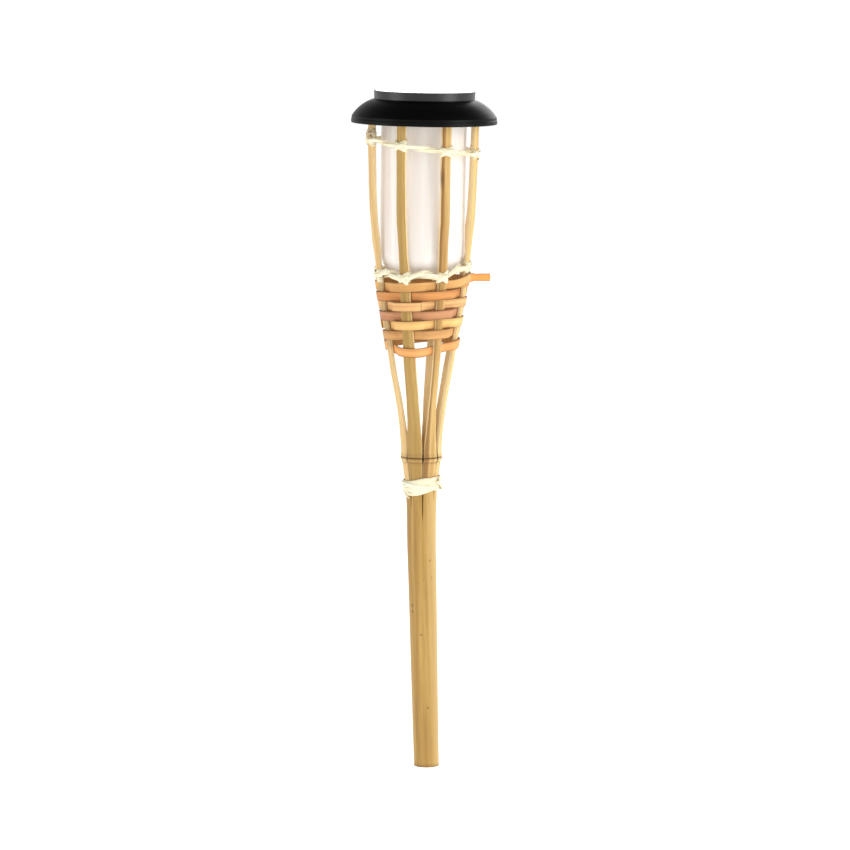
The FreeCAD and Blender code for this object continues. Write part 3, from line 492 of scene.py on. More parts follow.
def stave(index, material):
    """One split of the culm, from the pole's top to under the cap."""
    shape = Shape()
    spacing = 1.6
    top_angle = math.radians(STAVE_TOP_ANGLES[index])
    end_z = STAVE_END_Z - LAMP_SLOPE * cage_radius(STAVE_TOP_Z) * math.sin(top_angle)
    heights = [SPLIT_Z + spacing * k for k in range(int((end_z - SPLIT_Z) / spacing))] + [end_z]
    heights = sorted(set(heights + [NODE_Z + 0.35 * k for k in range(-9, 16)]))
    rings, grains, depths, stain_and_shade_lists = [], [], [], []
    along = 0.0
    before = None
    seed = index + 1
    for z in heights:
        r_out = cage_radius(z) + node_bump(z + 0.35 * wander(seed + 40, z / 9.0))
        thick = stave_thickness(z) + node_bump(z) * 0.5
        free = smoothstep(190, 225, z)
        half = stave_half_width(index, z) * (1 + (0.02 + 0.035 * free) * wander(seed, z / 16.0))
        half_left = half * (1 + 0.03 * free * wander(seed + 20, z / 7.0))
        half_right = half * (1 + 0.03 * free * wander(seed + 60, z / 7.0))
        # the skin is as round as the culm at first and rounder higher up, and the sides taper less
        crown = half * half / (2 * r_out) * (1 - free) + free * half * half / (2 * FREE_CROWN_R)
        wedge = max(0.12, 1 - (z - SPLIT_Z) / 60)
        inner = 1 - wedge * thick / r_out
        angle = stave_angle(index, z) + free * 0.5 * wander(seed + 80, z / 30.0)
        faces = angle + stave_twist(index, z)
        out, side = outward(faces), sideways(faces)
        top = head_point(angle, r_out - thick / 2 + 0.08 * wander(seed + 9, z / 12.0), z) + out * thick / 2
        if before is not None:
            along += (top - before).length
        before = top
        ring, grain, depth, stain_and_shade = [], [], [], []
        node_line = 0.85 * bell(z - NODE_Z - 0.6, 0.55)
        node_line += 0.4 * bell(z - NODE_Z + 2.4, 0.6)
        # painted shade: the split wood is darker in the narrow splits near the crotch
        split_shade = smoothstep(204, 193, z)
        # the first stave has painted shade in the basket, where the rows shade it, and the third has a brown
        # mark at its left edge
        basket_shade = 0.3 * smoothstep(262, 266, z) * smoothstep(307, 303, z) if index == 0 else 0.0
        marked = 0.55 * bell(z - 370, 6) if index == 2 else 0.0

        def put(across, drop, value):
            ring.append(top + side * across - out * drop)
            grain.append((across + 31.0 * index, drop + 17.0 * index, along))
            depth.append(value)
            line = node_line * (1 - value) + 0.8 * split_shade * smoothstep(0.1, 0.6, value)
            left_edge = marked if across < -0.4 * half else 0.0
            stain_and_shade.append(min(1.0, line + basket_shade + left_edge))

        for step in range(9):
            a = -1 + step / 4
            reach = half_left if a < 0 else half_right
            edge = 0.16 if abs(a) == 1 else 0.0
            put(a * reach * 0.985, crown * a * a + edge, 0.0 if abs(a) < 1 else 0.2)
        put(half_right, crown + 0.5, 0.5)
        put(half_right * (1 + inner) / 2, (crown + thick) / 2 + 0.3, 0.8)
        put(half_right * inner, thick - 0.12, 1.0)
        for a in (0.55, 0.0, -0.55):
            put(a * half * inner, thick + 0.1 * wander(seed + 100 + a, z / 6.0), 1.0)
        put(-half_left * inner, thick - 0.12, 1.0)
        put(-half_left * (1 + inner) / 2, (crown + thick) / 2 + 0.3, 0.8)
        put(-half_left, crown + 0.5, 0.5)
        rings.append(ring)
        grains.append(grain)
        depths.append(depth)
        stain_and_shade_lists.append(stain_and_shade)
    shape.tube(rings, grains, depths, stain_and_shade_lists)
    name = f"stave_{index + 1}"
    made = shape.object(f"bamboo_{name}", material, "cage")
    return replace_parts(made, name)


def pole(material):
    """The whole part of the culm, with the first cracks of the split and the hollow at its foot."""
    columns = 180
    heights = [-GROUND_DEPTH + h for h in (0.0, 0.25, 0.6, 1.5, 4.0)]
    heights += [-GROUND_DEPTH + 8 + 4.0 * k for k in range(75)]
    heights = [z for z in heights if z < SPLIT_Z - 24] + [SPLIT_Z - 24 + 1.5 * k for k in range(17)]
    # dark spots: direction, height, size
    spots = (
        (-50.0, 102.4, 0.8),
        (-50.0, 98.6, 0.7),
        (-10.0, 84.3, 0.6),
        (34.0, 131.0, 0.5),
        (12.0, 38.0, 0.6),
    )
    for _, centre, _ in spots:
        heights += [centre - 1.5 + 0.3 * k for k in range(11)]
    heights += [0.0, 0.8, 1.6, 2.6]
    heights = sorted(set(heights))
    rings, grains, depths, stain_and_shade_lists = [], [], [], []

    def crack_at(angle, z):
        """How deep a crack of the split is here, from 0 to 1."""
        deepest, half_width = 0.0, 2.4
        for edge, length in zip(SECTOR_EDGES, CRACK_DEPTHS):
            off = abs((angle - edge + 180) % 360 - 180)
            if off < half_width:
                opened = smoothstep(SPLIT_Z - length - 6, SPLIT_Z - length * 0.3, z)
                deepest = max(deepest, opened * (1 - off / half_width))
        return deepest

    def stain_and_shade_at(angle, z):
        """Painted shade in the cracks, dark spots, and darker from just above the ground line down."""
        value = max(0.95 * crack_at(angle, z), 0.4 * smoothstep(2.6, 0.4, z))
        for where, centre, size in spots:
            far = math.hypot(((angle - where + 180) % 360 - 180) * 0.15, z - centre) / size
            value += 0.8 * math.exp(-far * far)
        return min(value, 1.0)

    def ring_at(z, radius_of, depth):
        lean = HEAD_X * min(max(z, 0.0) / LEAN_TOP_Z, 1.0)
        ring, grain, stain_and_shade = [], [], []
        for j in range(columns):
            angle = 360 * j / columns
            spot = outward(angle) * radius_of(angle)
            ring.append(spot + Vector((lean, 0, z)))
            grain.append((spot.x, spot.y, z))
            stain_and_shade.append(0.0 if depth > 0.3 else stain_and_shade_at(angle, z))
        rings.append(ring)
        grains.append(grain)
        depths.append([depth] * columns)
        stain_and_shade_lists.append(stain_and_shade)

    def skin_radius(z):
        r = POLE_R_GROUND + (POLE_SHOULDER_R - POLE_R_GROUND) * min(max(z, 0.0) / POLE_SHOULDER_Z, 1.0)
        r += (POLE_R_TOP - POLE_SHOULDER_R) * smoothstep(POLE_SHOULDER_Z, SPLIT_Z, z)
        chamfer = max(0.0, 0.6 - (z + GROUND_DEPTH)) * 0.9

        def radius(angle):
            a = math.radians(angle)
            wobble = noise.noise(Vector((math.sin(a) * 1.3, math.cos(a) * 1.3, z / 70.0))) * 0.16
            return r + wobble * smoothstep(0, 12, z) - chamfer - 1.3 * crack_at(angle, z)

        return radius

    # down the bore first, and then over the foot's end and up the skin
    bore_floor, bore_r = -GROUND_DEPTH + 62, 4.0
    for z in (bore_floor, bore_floor - 20, -GROUND_DEPTH + 0.3):
        ring_at(z, lambda angle: bore_r, 1.0)
    ring_at(-GROUND_DEPTH, lambda angle: 4.3, 1.0)
    ring_at(-GROUND_DEPTH, lambda angle: 6.0, 0.9)
    for z in heights:
        ring_at(z, skin_radius(z), 0.35 if z < -GROUND_DEPTH + 0.3 else 0.0)
    ring_at(SPLIT_Z, lambda angle: 6.4, 1.0)
    shape = Shape()
    shape.tube(rings, grains, depths, stain_and_shade_lists)
    made = shape.object("bamboo_culm", material, "cage")
    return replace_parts(made, "bamboo_pole")


def strip(shape, centres, ups, widths, seed, shades):
    """A split bamboo strip along a path: slightly domed outside, with uneven edges."""
    # painted shade: the strip is darker at its edges, just beside them and on its inner face, where rows and
    # staves shade it
    edge, near, inner = 0.8, 0.14, 0.3  # how brown it is at its edges, beside them and inside
    half = STRIP_THICK / 2
    rings, grains, depths, stain_and_shade_lists = [], [], [], []
    along = 0.0
    last = len(centres) - 1
    for i, (c, up, width) in enumerate(zip(centres, ups, widths)):
        ahead = (centres[min(i + 1, last)] - centres[max(i - 1, 0)]).normalized()
        normal = ahead.cross(up).normalized()
        if i:
            along += (c - centres[i - 1]).length
        top = width / 2 * (1 + 0.04 * wander(seed, along / 11.0)) + 0.06 * wander(seed + 3, along / 2.5)
        low = width / 2 * (1 + 0.04 * wander(seed + 7, along / 13.0)) + 0.06 * wander(seed + 5, along / 2.5)
        ring, grain, depth = [], [], []

        def put(share, rise, value):
            across = (top if share > 0 else low) * share
            ring.append(c + up * across + normal * rise)
            grain.append((across + 19.0 * seed, rise + 5.0 * seed, along))
            depth.append(value)

        for share in (-0.97, -0.8, -0.4, 0.0, 0.4, 0.8, 0.97):
            put(share, half * (1.1 - 0.35 * share**4) + 0.03 * wander(seed + 11 + share, along / 4), 0.0)
        put(1.0, 0.0, 0.25)
        for share in (0.97, 0.45, -0.45, -0.97):
            put(share, -half * (1.0 - 0.2 * share**4), 0.9)
        put(-1.0, 0.0, 0.25)
        rings.append(ring)
        grains.append(grain)
        depths.append(depth)
        darkening = [edge, near, 0.0, 0.0, 0.0, near, edge, edge, inner, inner, inner, inner, edge]
        stain_and_shade_lists.append([max(value, shades[i]) for value in darkening])
    shape.tube(rings, grains, depths, stain_and_shade_lists)


def weave_row(index, material, tail_material):
    """One hoop of the basket, woven over and under the staves, with its ends lapped."""
    z_row, width, joint = ROWS[index]
    top_row, loose_row = index == 0, index == len(ROWS) - 1
    start, end = joint + LAP_START, joint + STAVES + LAP_END
    if top_row:
        start, end = joint + TAIL_START, joint + STAVES + TAIL_LEAVES
    layer = STRIP_THICK + STRIP_GAP
    outside = 1 if joint % 2 == 0 else -1
    thick = stave_thickness(z_row)
    reach = (thick + STRIP_THICK) / 2 + STRIP_GAP * 0.7
    centres, ups, shades = [], [], []
    for i in range(ROW_STEPS + 1):
        position = start + (end - start) * i / ROW_STEPS
        angle = angle_of(position, z_row)
        swing = outside * math.tanh(2.2 * math.cos(math.pi * position)) / math.tanh(2.2)
        # painted shade where the strip goes behind a stave, and darker at its cut end
        nearest = round(position)
        off = abs(position - nearest) - stave_half_width((nearest - 1) % STAVES, z_row) * 0.045
        tucked = 0.62 * bell(off, 0.035) if swing < -0.5 else 0.0
        cut_end = 0.6 * bell(end - position, 0.012) if not top_row else 0.0
        shades.append(max(tucked, cut_end))
        if top_row:
            lap = layer * smoothstep(end - LAP_EASE, end - LAP_EASE / 2, position)
        else:
            over = max(0.0, 1 - (end - position) / LAP_EASE)
            under = max(0.0, 1 - (position - start) / LAP_EASE)
            lap = layer / 2 * (over - under)
        radius = cage_radius(z_row) - thick / 2 + swing * reach + lap
        rise = radius * math.sin(math.radians(angle)) * math.tan(WEAVE_TILT)
        rise += 0.22 * wander(index + 200, position * 0.9)
        if top_row:
            rise += TAIL_RISE * smoothstep(end - 0.82, end - 0.12, position)
        if loose_row:
            away = (position - LOOSE_ROW_AT + STAVES / 2) % STAVES - STAVES / 2
            back = (1 - math.cos(math.radians(angle))) / 2
            rise += LOOSE_ROW_BACK * back - LOOSE_ROW_DIP * math.exp(-away * away)
        slope = cage_radius(z_row + rise) - cage_radius(z_row)
        centres.append(head_point(angle, radius + slope, z_row + rise))
        ups.append(lean_up(angle, z_row + rise))
    widths = [width] * len(centres)
    name = f"weave_row_{index + 1}"
    if top_row:
        # the free end, which leaves the basket and narrows
        ahead = centres[-1] - centres[-2]
        first = math.degrees(math.atan2(ahead.y, ahead.x))
        up = ups[-1]
        for i in range(TAIL_STEPS):
            share = (i + 1) / TAIL_STEPS
            turn = math.radians(first + (TAIL_HEADING - first) * min(1.0, 3 * share))
            step = Vector((math.cos(turn), math.sin(turn), -TAIL_FALL)) * (TAIL_LENGTH / TAIL_STEPS)
            centres.append(centres[-1] + step)
            ups.append((up * (1 - share) + Vector((0, 0, share))).normalized())
            widths.append(width + (TAIL_WIDTH - width) * min(1.0, 3 * share))
            shades.append(0.0)
    shape = Shape()
    strip(shape, centres, ups, widths, index + 1.0, shades)
    made = shape.object(f"woven_{name}", material, "cage")
    if top_row:
        made.data.materials.append(tail_material)
        edge = min(c.x for c in centres[-TAIL_STEPS:]) * MM
        last_part = len(made.data.polygons) * 0.8
        for face in made.data.polygons:
            if face.center.x > edge and face.index > last_part:
                face.material_index = 1
    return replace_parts(made, name)


# ---- raffia


def through(points, per_span):
    """A smooth path through points."""
    ends = [points[0] * 2 - points[1], *points, points[-1] * 2 - points[-2]]
    path = []
    for i in range(1, len(ends) - 2):
        a, b, c, d = ends[i - 1 : i + 3]
        for k in range(per_span):
            t = k / per_span
            path.append(
                0.5
                * (
                    2 * b
                    + (c - a) * t
                    + (2 * a - 5 * b + 4 * c - d) * t * t
                    + (3 * b - a - 3 * c + d) * t * t * t
                )
            )
    path.append(points[-1].copy())
    return path


FIBRE_SECTION = (
    (-1, 0.0), (-0.55, 0.5), (0.0, 0.5), (0.55, 0.5),
    (1, 0.0), (0.55, -0.5), (0.0, -0.5), (-0.55, -0.5),
)


def fibre(shape, path, width, seed, twist, thick=0.22, tip=1.5, face=None, stain_and_shade=0.0):
    """A flat raffia fibre along a path, lying flat on what is inside it, curled a little across."""
    rings, grains = [], []
    along = 0.0
    last = len(path) - 1
    length = sum((path[i + 1] - path[i]).length for i in range(last))
    for i, c in enumerate(path):
        ahead = (path[min(i + 1, last)] - path[max(i - 1, 0)]).normalized()
        out = face if face is not None else Vector((c.x - head_axis_x(c.z), c.y, 0)).normalized()
        across = ahead.cross(out)
        if across.length < 0.05:
            across = ahead.cross(Vector((0, 0, 1)))
        across.normalize()
        out = across.cross(ahead).normalized()
        if i:
            along += (c - path[i - 1]).length
        turn = twist * wander(seed + 2, along / 9.0)
        a = across * math.cos(turn) + out * math.sin(turn)
        n = out * math.cos(turn) - across * math.sin(turn)
        ends = min(along, length - along)
        half = width / 2 * (1 + 0.22 * wander(seed, along / 5.0)) * (0.25 + 0.75 * min(1.0, ends / tip))
        curl = 0.22 * half * (1 + wander(seed + 8, along / 7.0))
        ring, grain = [], []
        for share, rise in FIBRE_SECTION:
            fold = curl * (1 - share * share) + 0.05 * wander(seed + 30 + share, along / 2.0)
            ring.append(c + a * (half * share) + n * (thick * rise + fold - curl * 0.5))
            grain.append((half * share + 11.0 * seed, rise * thick + 3.0 * seed, along))
        rings.append(ring)
        grains.append(grain)
    shape.tube(rings, grains, *([[value] * len(FIBRE_SECTION) for _ in rings] for value in (0.0, stain_and_shade)))


def bundle(shape, path, count, spread, width, seed, lift=0.14, twist=0.35):
    """Several fibres side by side that wander over each other."""
    for j in range(count):
        s = seed + 1.37 * j
        place = j - (count - 1) / 2
        moved = []
        along = 0.0
        for i, c in enumerate(path):
            if i:
                along += (c - path[i - 1]).length
            out = Vector((c.x - head_axis_x(c.z), c.y, 0)).normalized()
            rise = place * spread + 0.45 * spread * wander(s, along / 8.0)
            moved.append(c + Vector((0, 0, rise)) + out * lift * (j % 3 + 0.5 * wander(s + 4, along / 6.0)))
        fibre(shape, moved, width * (1 + 0.15 * wander(s, 3.3)), s, twist=twist)


def twine_path(height_at, middle, reach_out, reach_in, first_outside, rises):
    """The line of one of two strands that twine round the staves and cross between them."""
    path = []
    per_stave = 14
    parity = 0 if first_outside else 1
    for i in range(STAVES * per_stave + 1):
        position = 1.5 + i / per_stave
        angle = angle_of(position, middle)
        swing = math.tanh(1.6 * math.cos(math.pi * (position + parity))) / math.tanh(1.6)
        z = height_at(position, angle)
        radius = cage_radius(z) - stave_thickness(z) / 2 + swing * (reach_out if swing > 0 else reach_in)
        rise = rises[(int(position) + parity) % 2] * math.sin(math.pi * position) ** 2
        path.append(head_point(angle, radius, z + rise))
    return path


def stave_wrap(shape, index, z, lean, seed, width, lift, count, stain_and_shade=0.0):
    """A diagonal turn of raffia round one stave, from behind it on one side to behind it on the other."""
    half = stave_half_width(index, z) + 0.35
    thick = stave_thickness(z)
    faces = stave_angle(index, z)
    turned = faces + stave_twist(index, z)
    out, side = outward(turned), sideways(turned)
    stops = []
    for across, drop, rise in (
        (-half * 0.7, thick + 0.45, -lean),
        (-half - 0.15, thick * 0.5, -lean * 0.8),
        (-half * 0.75, -0.42 - lift, -lean * 0.5),
        (0.0, -0.62 - lift, 0.0),
        (half * 0.75, -0.42 - lift, lean * 0.5),
        (half + 0.15, thick * 0.5, lean * 0.8),
        (half * 0.7, thick + 0.45, lean),
    ):
        centre = head_point(faces, cage_radius(z + rise) - thick / 2, z + rise) + out * thick / 2
        stops.append(centre + side * across - out * drop)
    path = through(stops, 6)
    for j in range(count):
        rise = Vector((0, 0, (j - (count - 1) / 2) * width * 0.42))
        lifted = [p + rise + out * 0.12 * (j % 2) for p in path]
        fibre(shape, lifted, width * 0.6, seed + 2.1 * j, thick=0.24, twist=0.12, stain_and_shade=stain_and_shade)


def clump(shape, index, z, seed, size=1.0):
    """The bulk of crossed raffia over one stave: two diagonal turns each way, one on the other."""
    stave_wrap(shape, index, z + 0.5, 2.4 * size, seed, 2.7 * size, 0.0, 3)
    stave_wrap(shape, index, z - 0.3, -2.3 * size, seed + 20, 2.7 * size, 0.4, 3)
    stave_wrap(shape, index, z + 0.2, 1.0 * size, seed + 40, 2.2 * size, 0.8, 2)


def wisps(shape, index, z, seed, turns):
    """Short loose ends off a clump. turns has each one's way round, its way up and how far it stands off."""
    base, r = stave_angle(index, z), cage_radius(z)
    for k, (turn, rise, stand) in enumerate(turns):
        stops = [
            head_point(base, r + 1.0, z),
            head_point(base + turn * 0.5, r + 1.3 + 0.4 * stand, z + rise * 0.35),
            head_point(base + turn, r + 0.8 + stand, z + rise),
        ]
        fibre(shape, through(stops, 7), 0.6, seed + k, twist=0.9, tip=3)


def tilted_height(angle):
    """The upper lashing's height in one direction."""
    across = cage_radius(UPPER_LASHING_Z) * math.sin(math.radians(angle))
    return UPPER_LASHING_Z + across * math.tan(math.radians(UPPER_LASHING_TILT))


def tilt_z(index):
    """Where the upper lashing crosses a stave."""
    return tilted_height(stave_angle(index, UPPER_LASHING_Z))


def upper_lashing(material):
    """Raffia round the staves under the cap, with crossed turns on each stave and a knot at the left."""
    shape = Shape()
    reach = stave_thickness(UPPER_LASHING_Z) / 2 + 0.75

    def height_at(_position, angle):
        return tilted_height(angle)

    for first, seed in ((True, 3.0), (False, 17.0)):
        path = twine_path(height_at, UPPER_LASHING_Z, reach, reach, first, (0.9, -0.7))
        bundle(shape, path, 3, 0.5, 1.0, seed)
    for index in range(STAVES):
        clump(shape, index, tilt_z(index), 50.0 + index)
    for index, turns in (
        (1, ((9, 1.6, 0.2), (-7, -1.8, 0.5), (6, -2.6, 0.3))),
        (2, ((-8, 2.2, 0.3), (9, -2.4, 0.4), (7, 2.0, 0.2), (-6, -2.2, 0.6))),
        (3, ((-8, -2.4, 0.4), (5, 3.0, 0.4))),
        (5, ((7, 2.0, 0.4),)),
        (6, ((-9, -2.0, 0.4),)),
    ):
        wisps(shape, index, tilt_z(index), 130.0 + 5 * index, turns)
    knot_on_first_stave(shape)
    made = shape.object("raffia_upper_tie", material, "cage")
    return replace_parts(made, "upper_lashing")


def knot_on_first_stave(shape):
    """A compact knot: three brown loops that open forwards in front of the stave, and short tails."""
    z = tilt_z(0) + 3.2
    base = stave_angle(0, z)
    heart = head_point(base, cage_radius(z) - 1.0, z) + Vector((0, -3.0, 0))
    stave_wrap(shape, 0, z + 1.2, 1.6, 90.0, 2.4, 0.1, 3, 0.5)
    stave_wrap(shape, 0, z - 1.0, -1.8, 96.0, 2.4, 0.3, 3, 0.6)
    forward = Vector((0, -1, 0))
    # half width, half height, way up and slant
    loops = ((2.3, 2.5, 0.0, 0.5), (1.9, 2.9, 0.8, -0.5), (2.6, 1.8, -0.6, 0.1))
    for k, (wide, tall, shift, lean) in enumerate(loops):
        stops = []
        for i in range(13):
            a = 2 * math.pi * i / 12 + 0.4 * k
            x = wide * math.cos(a)
            rise = tall * math.sin(a) + lean * x
            stops.append(heart + Vector((x, 0.7 * math.sin(a + k) - 0.35 * k, rise + shift)))
        for j in range(2):
            path = [p + Vector((0.1 * j, -0.3 * j, 0.35 * j)) for p in through(stops, 4)]
            fibre(shape, path, 1.1, 100.0 + 3 * k + j, twist=0.4, face=forward, stain_and_shade=0.3 + 0.12 * k)
    tails = (
        ((0.4, 0.2, -1.4), (-2.2, -0.4, -3.4), (-3.6, -0.2, -5.6)),
        ((-0.4, 0.0, 1.8), (-2.6, -0.5, 3.4), (-4.2, -0.3, 3.8)),
        ((0.8, 0.0, -2.0), (1.2, -0.4, -5.0), (0.6, -0.2, -7.6)),
    )
    for k, stops in enumerate(tails):
        path = through([heart + Vector(p) for p in stops], 7)
        fibre(shape, path, 0.9, 116.0 + k, twist=0.7, tip=3, face=forward)


def lower_lashing(material):
    """Raffia along the basket's rim, at its own height on each stave, with arcs in between."""
    shape = Shape()
    middle = sum(LOWER_LASHING_HEIGHTS) / STAVES
    half = stave_thickness(middle) / 2

    def height_at(position, _angle):
        k = int(position)
        here, after = LOWER_LASHING_HEIGHTS[(k - 1) % STAVES], LOWER_LASHING_HEIGHTS[k % STAVES]
        return here + (after - here) * smoothstep(0, 1, position - k)

    for first, seed in ((True, 23.0), (False, 37.0)):
        path = twine_path(height_at, middle, half + 0.85, half + 0.9, first, (3.2, 1.4))
        bundle(shape, path, 4, 0.6, 1.35, seed)
    for index in range(STAVES):
        clump(shape, index, LOWER_LASHING_HEIGHTS[index], 150.0 + index, 1.1)
    for index, turns in (
        (0, ((8, 2.8, 0.2), (5, -2.6, 0.5))),
        (1, ((-8, 3.4, 0.2), (7, -1.6, 0.5))),
        (2, ((-7, 2.4, 0.2), (9, 2.2, 0.5))),
        (3, ((-9, -1.0, 0.4), (4, 3.2, 0.3))),
    ):
        wisps(shape, index, LOWER_LASHING_HEIGHTS[index], 190.0 + 5 * index, turns)
    made = shape.object("raffia_rim_tie", material, "cage")
    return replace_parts(made, "lower_lashing")


def pole_lashing(material):
    """Raffia wound round the culm below the split, with a knot at the right and a tail at the lower left."""
    shape = Shape()

    def spot(angle, lift, z):
        r = POLE_R_TOP + max(0.0, (z - SPLIT_Z)) * 0.17
        return head_point(angle, r + lift, z)

    # height, slant and lift of each turn
    winds = ((175.0, 6.8, 0.85), (176.3, 6.2, 1.0), (177.7, 5.6, 1.2), (179.1, 5.0, 1.0), (180.3, 4.4, 0.8))
    for k, (z, tilt, lift) in enumerate(winds):
        stops = []
        for i in range(41):
            angle = -180 + 9 * i
            rise = tilt * math.sin(math.radians(angle)) * 0.17 * 1.9
            height = z + rise + 0.5 * wander(210 + k, i / 7)
            stops.append(spot(angle, lift + 0.15 * wander(200 + k, i / 5), height))
        bundle(shape, stops, 3, 0.9, 1.9, 220.0 + 9 * k, lift=0.14, twist=0.15)
    # crossing turns over the front
    for k, (low, high) in enumerate(((174.2, 179.6), (179.0, 176.2))):
        stops = []
        for i in range(17):
            stops.append(spot(-120 + 15 * i, 1.65 + 0.2 * k, low + (high - low) * smoothstep(0, 16, i)))
        bundle(shape, stops, 2, 1.1, 1.6, 270.0 + 11 * k, lift=0.12, twist=0.3)
    knot = [spot(50, 1.6, 180.5), spot(60, 3.0, 179.4), spot(72, 3.6, 177.2), spot(82, 2.6, 175.4)]
    knot += [spot(80, 1.8, 177.6), spot(68, 2.2, 179.8), spot(58, 2.9, 181.8), spot(68, 3.4, 183.2)]
    for k in range(3):
        lifted = [p + Vector((0.15 * k, -0.3 * k, 0.5 * k - 0.5)) for p in through(knot, 7)]
        fibre(shape, lifted, 1.5, 300.0 + k, twist=0.4)
    tails = (
        [spot(-66, 1.4, 174.8), spot(-60, 2.1, 172.8), spot(-50, 1.7, 171.0), spot(-42, 1.1, 170.0)],
        [spot(-78, 1.5, 174.6), spot(-74, 2.3, 172.8), spot(-66, 2.2, 171.2)],
        [spot(-60, 1.5, 174.6), spot(-46, 1.9, 173.4), spot(-30, 1.4, 172.8)],
    )
    for k, stops in enumerate(tails):
        fibre(shape, through(stops, 7), 1.2, 310.0 + k, twist=0.5, tip=3)
    made = shape.object("raffia_pole_tie", material, "cage")
    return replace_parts(made, "pole_lashing")


# ---- finishes for the CAD pieces


def paint(node, material):
    """Puts a material on a CAD piece."""
    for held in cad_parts[node].material_slots:
        held.material = material


def frosted():
    """Frosted acrylic: it scatters light through its wall, and its skin has a soft gloss, with faint vertical
    bands of painted shade and a faint painted glow.
    """
    t = Tree("frosted_acrylic")
    place = t.place()
    # painted shade: faint vertical bands, for the shading seen through the wall
    cloud = t.noise(t.scaled(place, (110, 110, 5)), 3, 0.5)
    grit = t.noise(t.scaled(place, (2600, 2600, 2600)), 2, 0.5)
    colour = t.ramp(cloud, [(0.35, srgb(231, 219, 210)), (0.62, srgb(246, 239, 232))])
    t.bump(grit, 0.012, 0.4)
    return t.set(
        Base_Color=colour,
        Roughness=0.34,
        Subsurface_Weight=0.35,
        Subsurface_Radius=(1.0, 0.8, 0.7),
        Subsurface_Scale=0.004,
        # a faint painted glow, though the lamp is off
        Emission_Color=(1.0, 0.95, 0.9, 1.0),
        Emission_Strength=0.06,
    )


def window():
    """Clear plastic with a faint smear."""
    t = Tree("panel_window_clear")
    place = t.place()
    smear = t.noise(t.scaled(place, (90, 90, 90)), 3, 0.5)
    roughness = t.math("ADD", t.math("MULTIPLY", smear, 0.06), 0.02)
    return t.set(Base_Color=srgb(240, 246, 250), Roughness=roughness, Transmission_Weight=1.0, IOR=1.49)


def cells():
    """Dark silicon with thin silver fingers across it."""
    t = Tree("solar_silicon")
    place = t.place()
    axes = t.add("ShaderNodeSeparateXYZ", _0=place)
    wave = t.math("FRACT", t.math("MULTIPLY", axes.outputs[1], 1 / (1.5 * MM)))
    finger = t.math("LESS_THAN", wave, 0.12)
    shine = t.noise(t.scaled(place, (220, 220, 220)), 4, 0.6)
    silicon = t.ramp(shine, [(0.35, srgb(14, 18, 40)), (0.7, srgb(30, 38, 78))])
    colour = t.mix(finger, silicon, srgb(168, 172, 178))
    return t.set(Base_Color=colour, Roughness=0.22)


def circuit():
    """Green board with paler tracks."""
    t = Tree("circuit_laminate")
    place = t.place()
    tracks = t.add("ShaderNodeTexVoronoi", Vector=t.scaled(place, (380, 380, 380)))
    tracks.distance = "CHEBYCHEV"
    lines = t.ramp(tracks.outputs["Distance"], [(0.42, 0.0), (0.47, 1.0)])
    colour = t.mix(lines, srgb(18, 92, 52), srgb(40, 124, 74))
    t.bump(lines, 0.03, 0.4)
    return t.set(Base_Color=colour, Roughness=0.4)


def lens():
    """The warm resin of the diode."""
    t = Tree("led_epoxy")
    place = t.place()
    cloud = t.noise(t.scaled(place, (500, 500, 500)), 2, 0.5)
    colour = t.ramp(cloud, [(0.3, srgb(236, 226, 176)), (0.7, srgb(250, 246, 224))])
    return t.set(Base_Color=colour, Roughness=0.12, Coat_Weight=0.6)


def finish_lamp():
    cap = cap_plastic()
    tray = moulded("tray_black_plastic", srgb(30, 30, 32), 0.5, 0.5, 0.02, 0.4)
    black = moulded("component_black", srgb(26, 26, 27), 0.42)
    paint("cap_shell", cap)
    paint("lamp_tray", tray)
    paint("battery_cover", tray)
    paint("switch_body", black)
    paint("board_components", black)
    paint("switch_knob", moulded("knob_grey_plastic", srgb(96, 97, 99), 0.45))
    paint("solar_board", moulded("panel_board_white", srgb(232, 232, 226), 0.6, 0.8))
    paint("battery", moulded("battery_green_wrap", srgb(58, 138, 78), 0.28, 1.5, 0.01))
    paint("panel_wires", moulded("wire_red_vinyl", srgb(176, 36, 30), 0.42))
    paint("battery_wires", moulded("wire_black_vinyl", srgb(30, 30, 30), 0.42))
    nickel = metal("nickel_plate", srgb(204, 202, 194), 0.3)
    paint("battery_contact", nickel)
    paint("battery_spring", nickel)
    paint("tray_screws", metal("zinc_screws", srgb(190, 190, 192), 0.34))
    paint("solar_cells", cells())
    paint("circuit_board", circuit())
    paint("panel_window", window())
    paint("led", lens())
    paint("diffuser", frosted())


# ---- everything


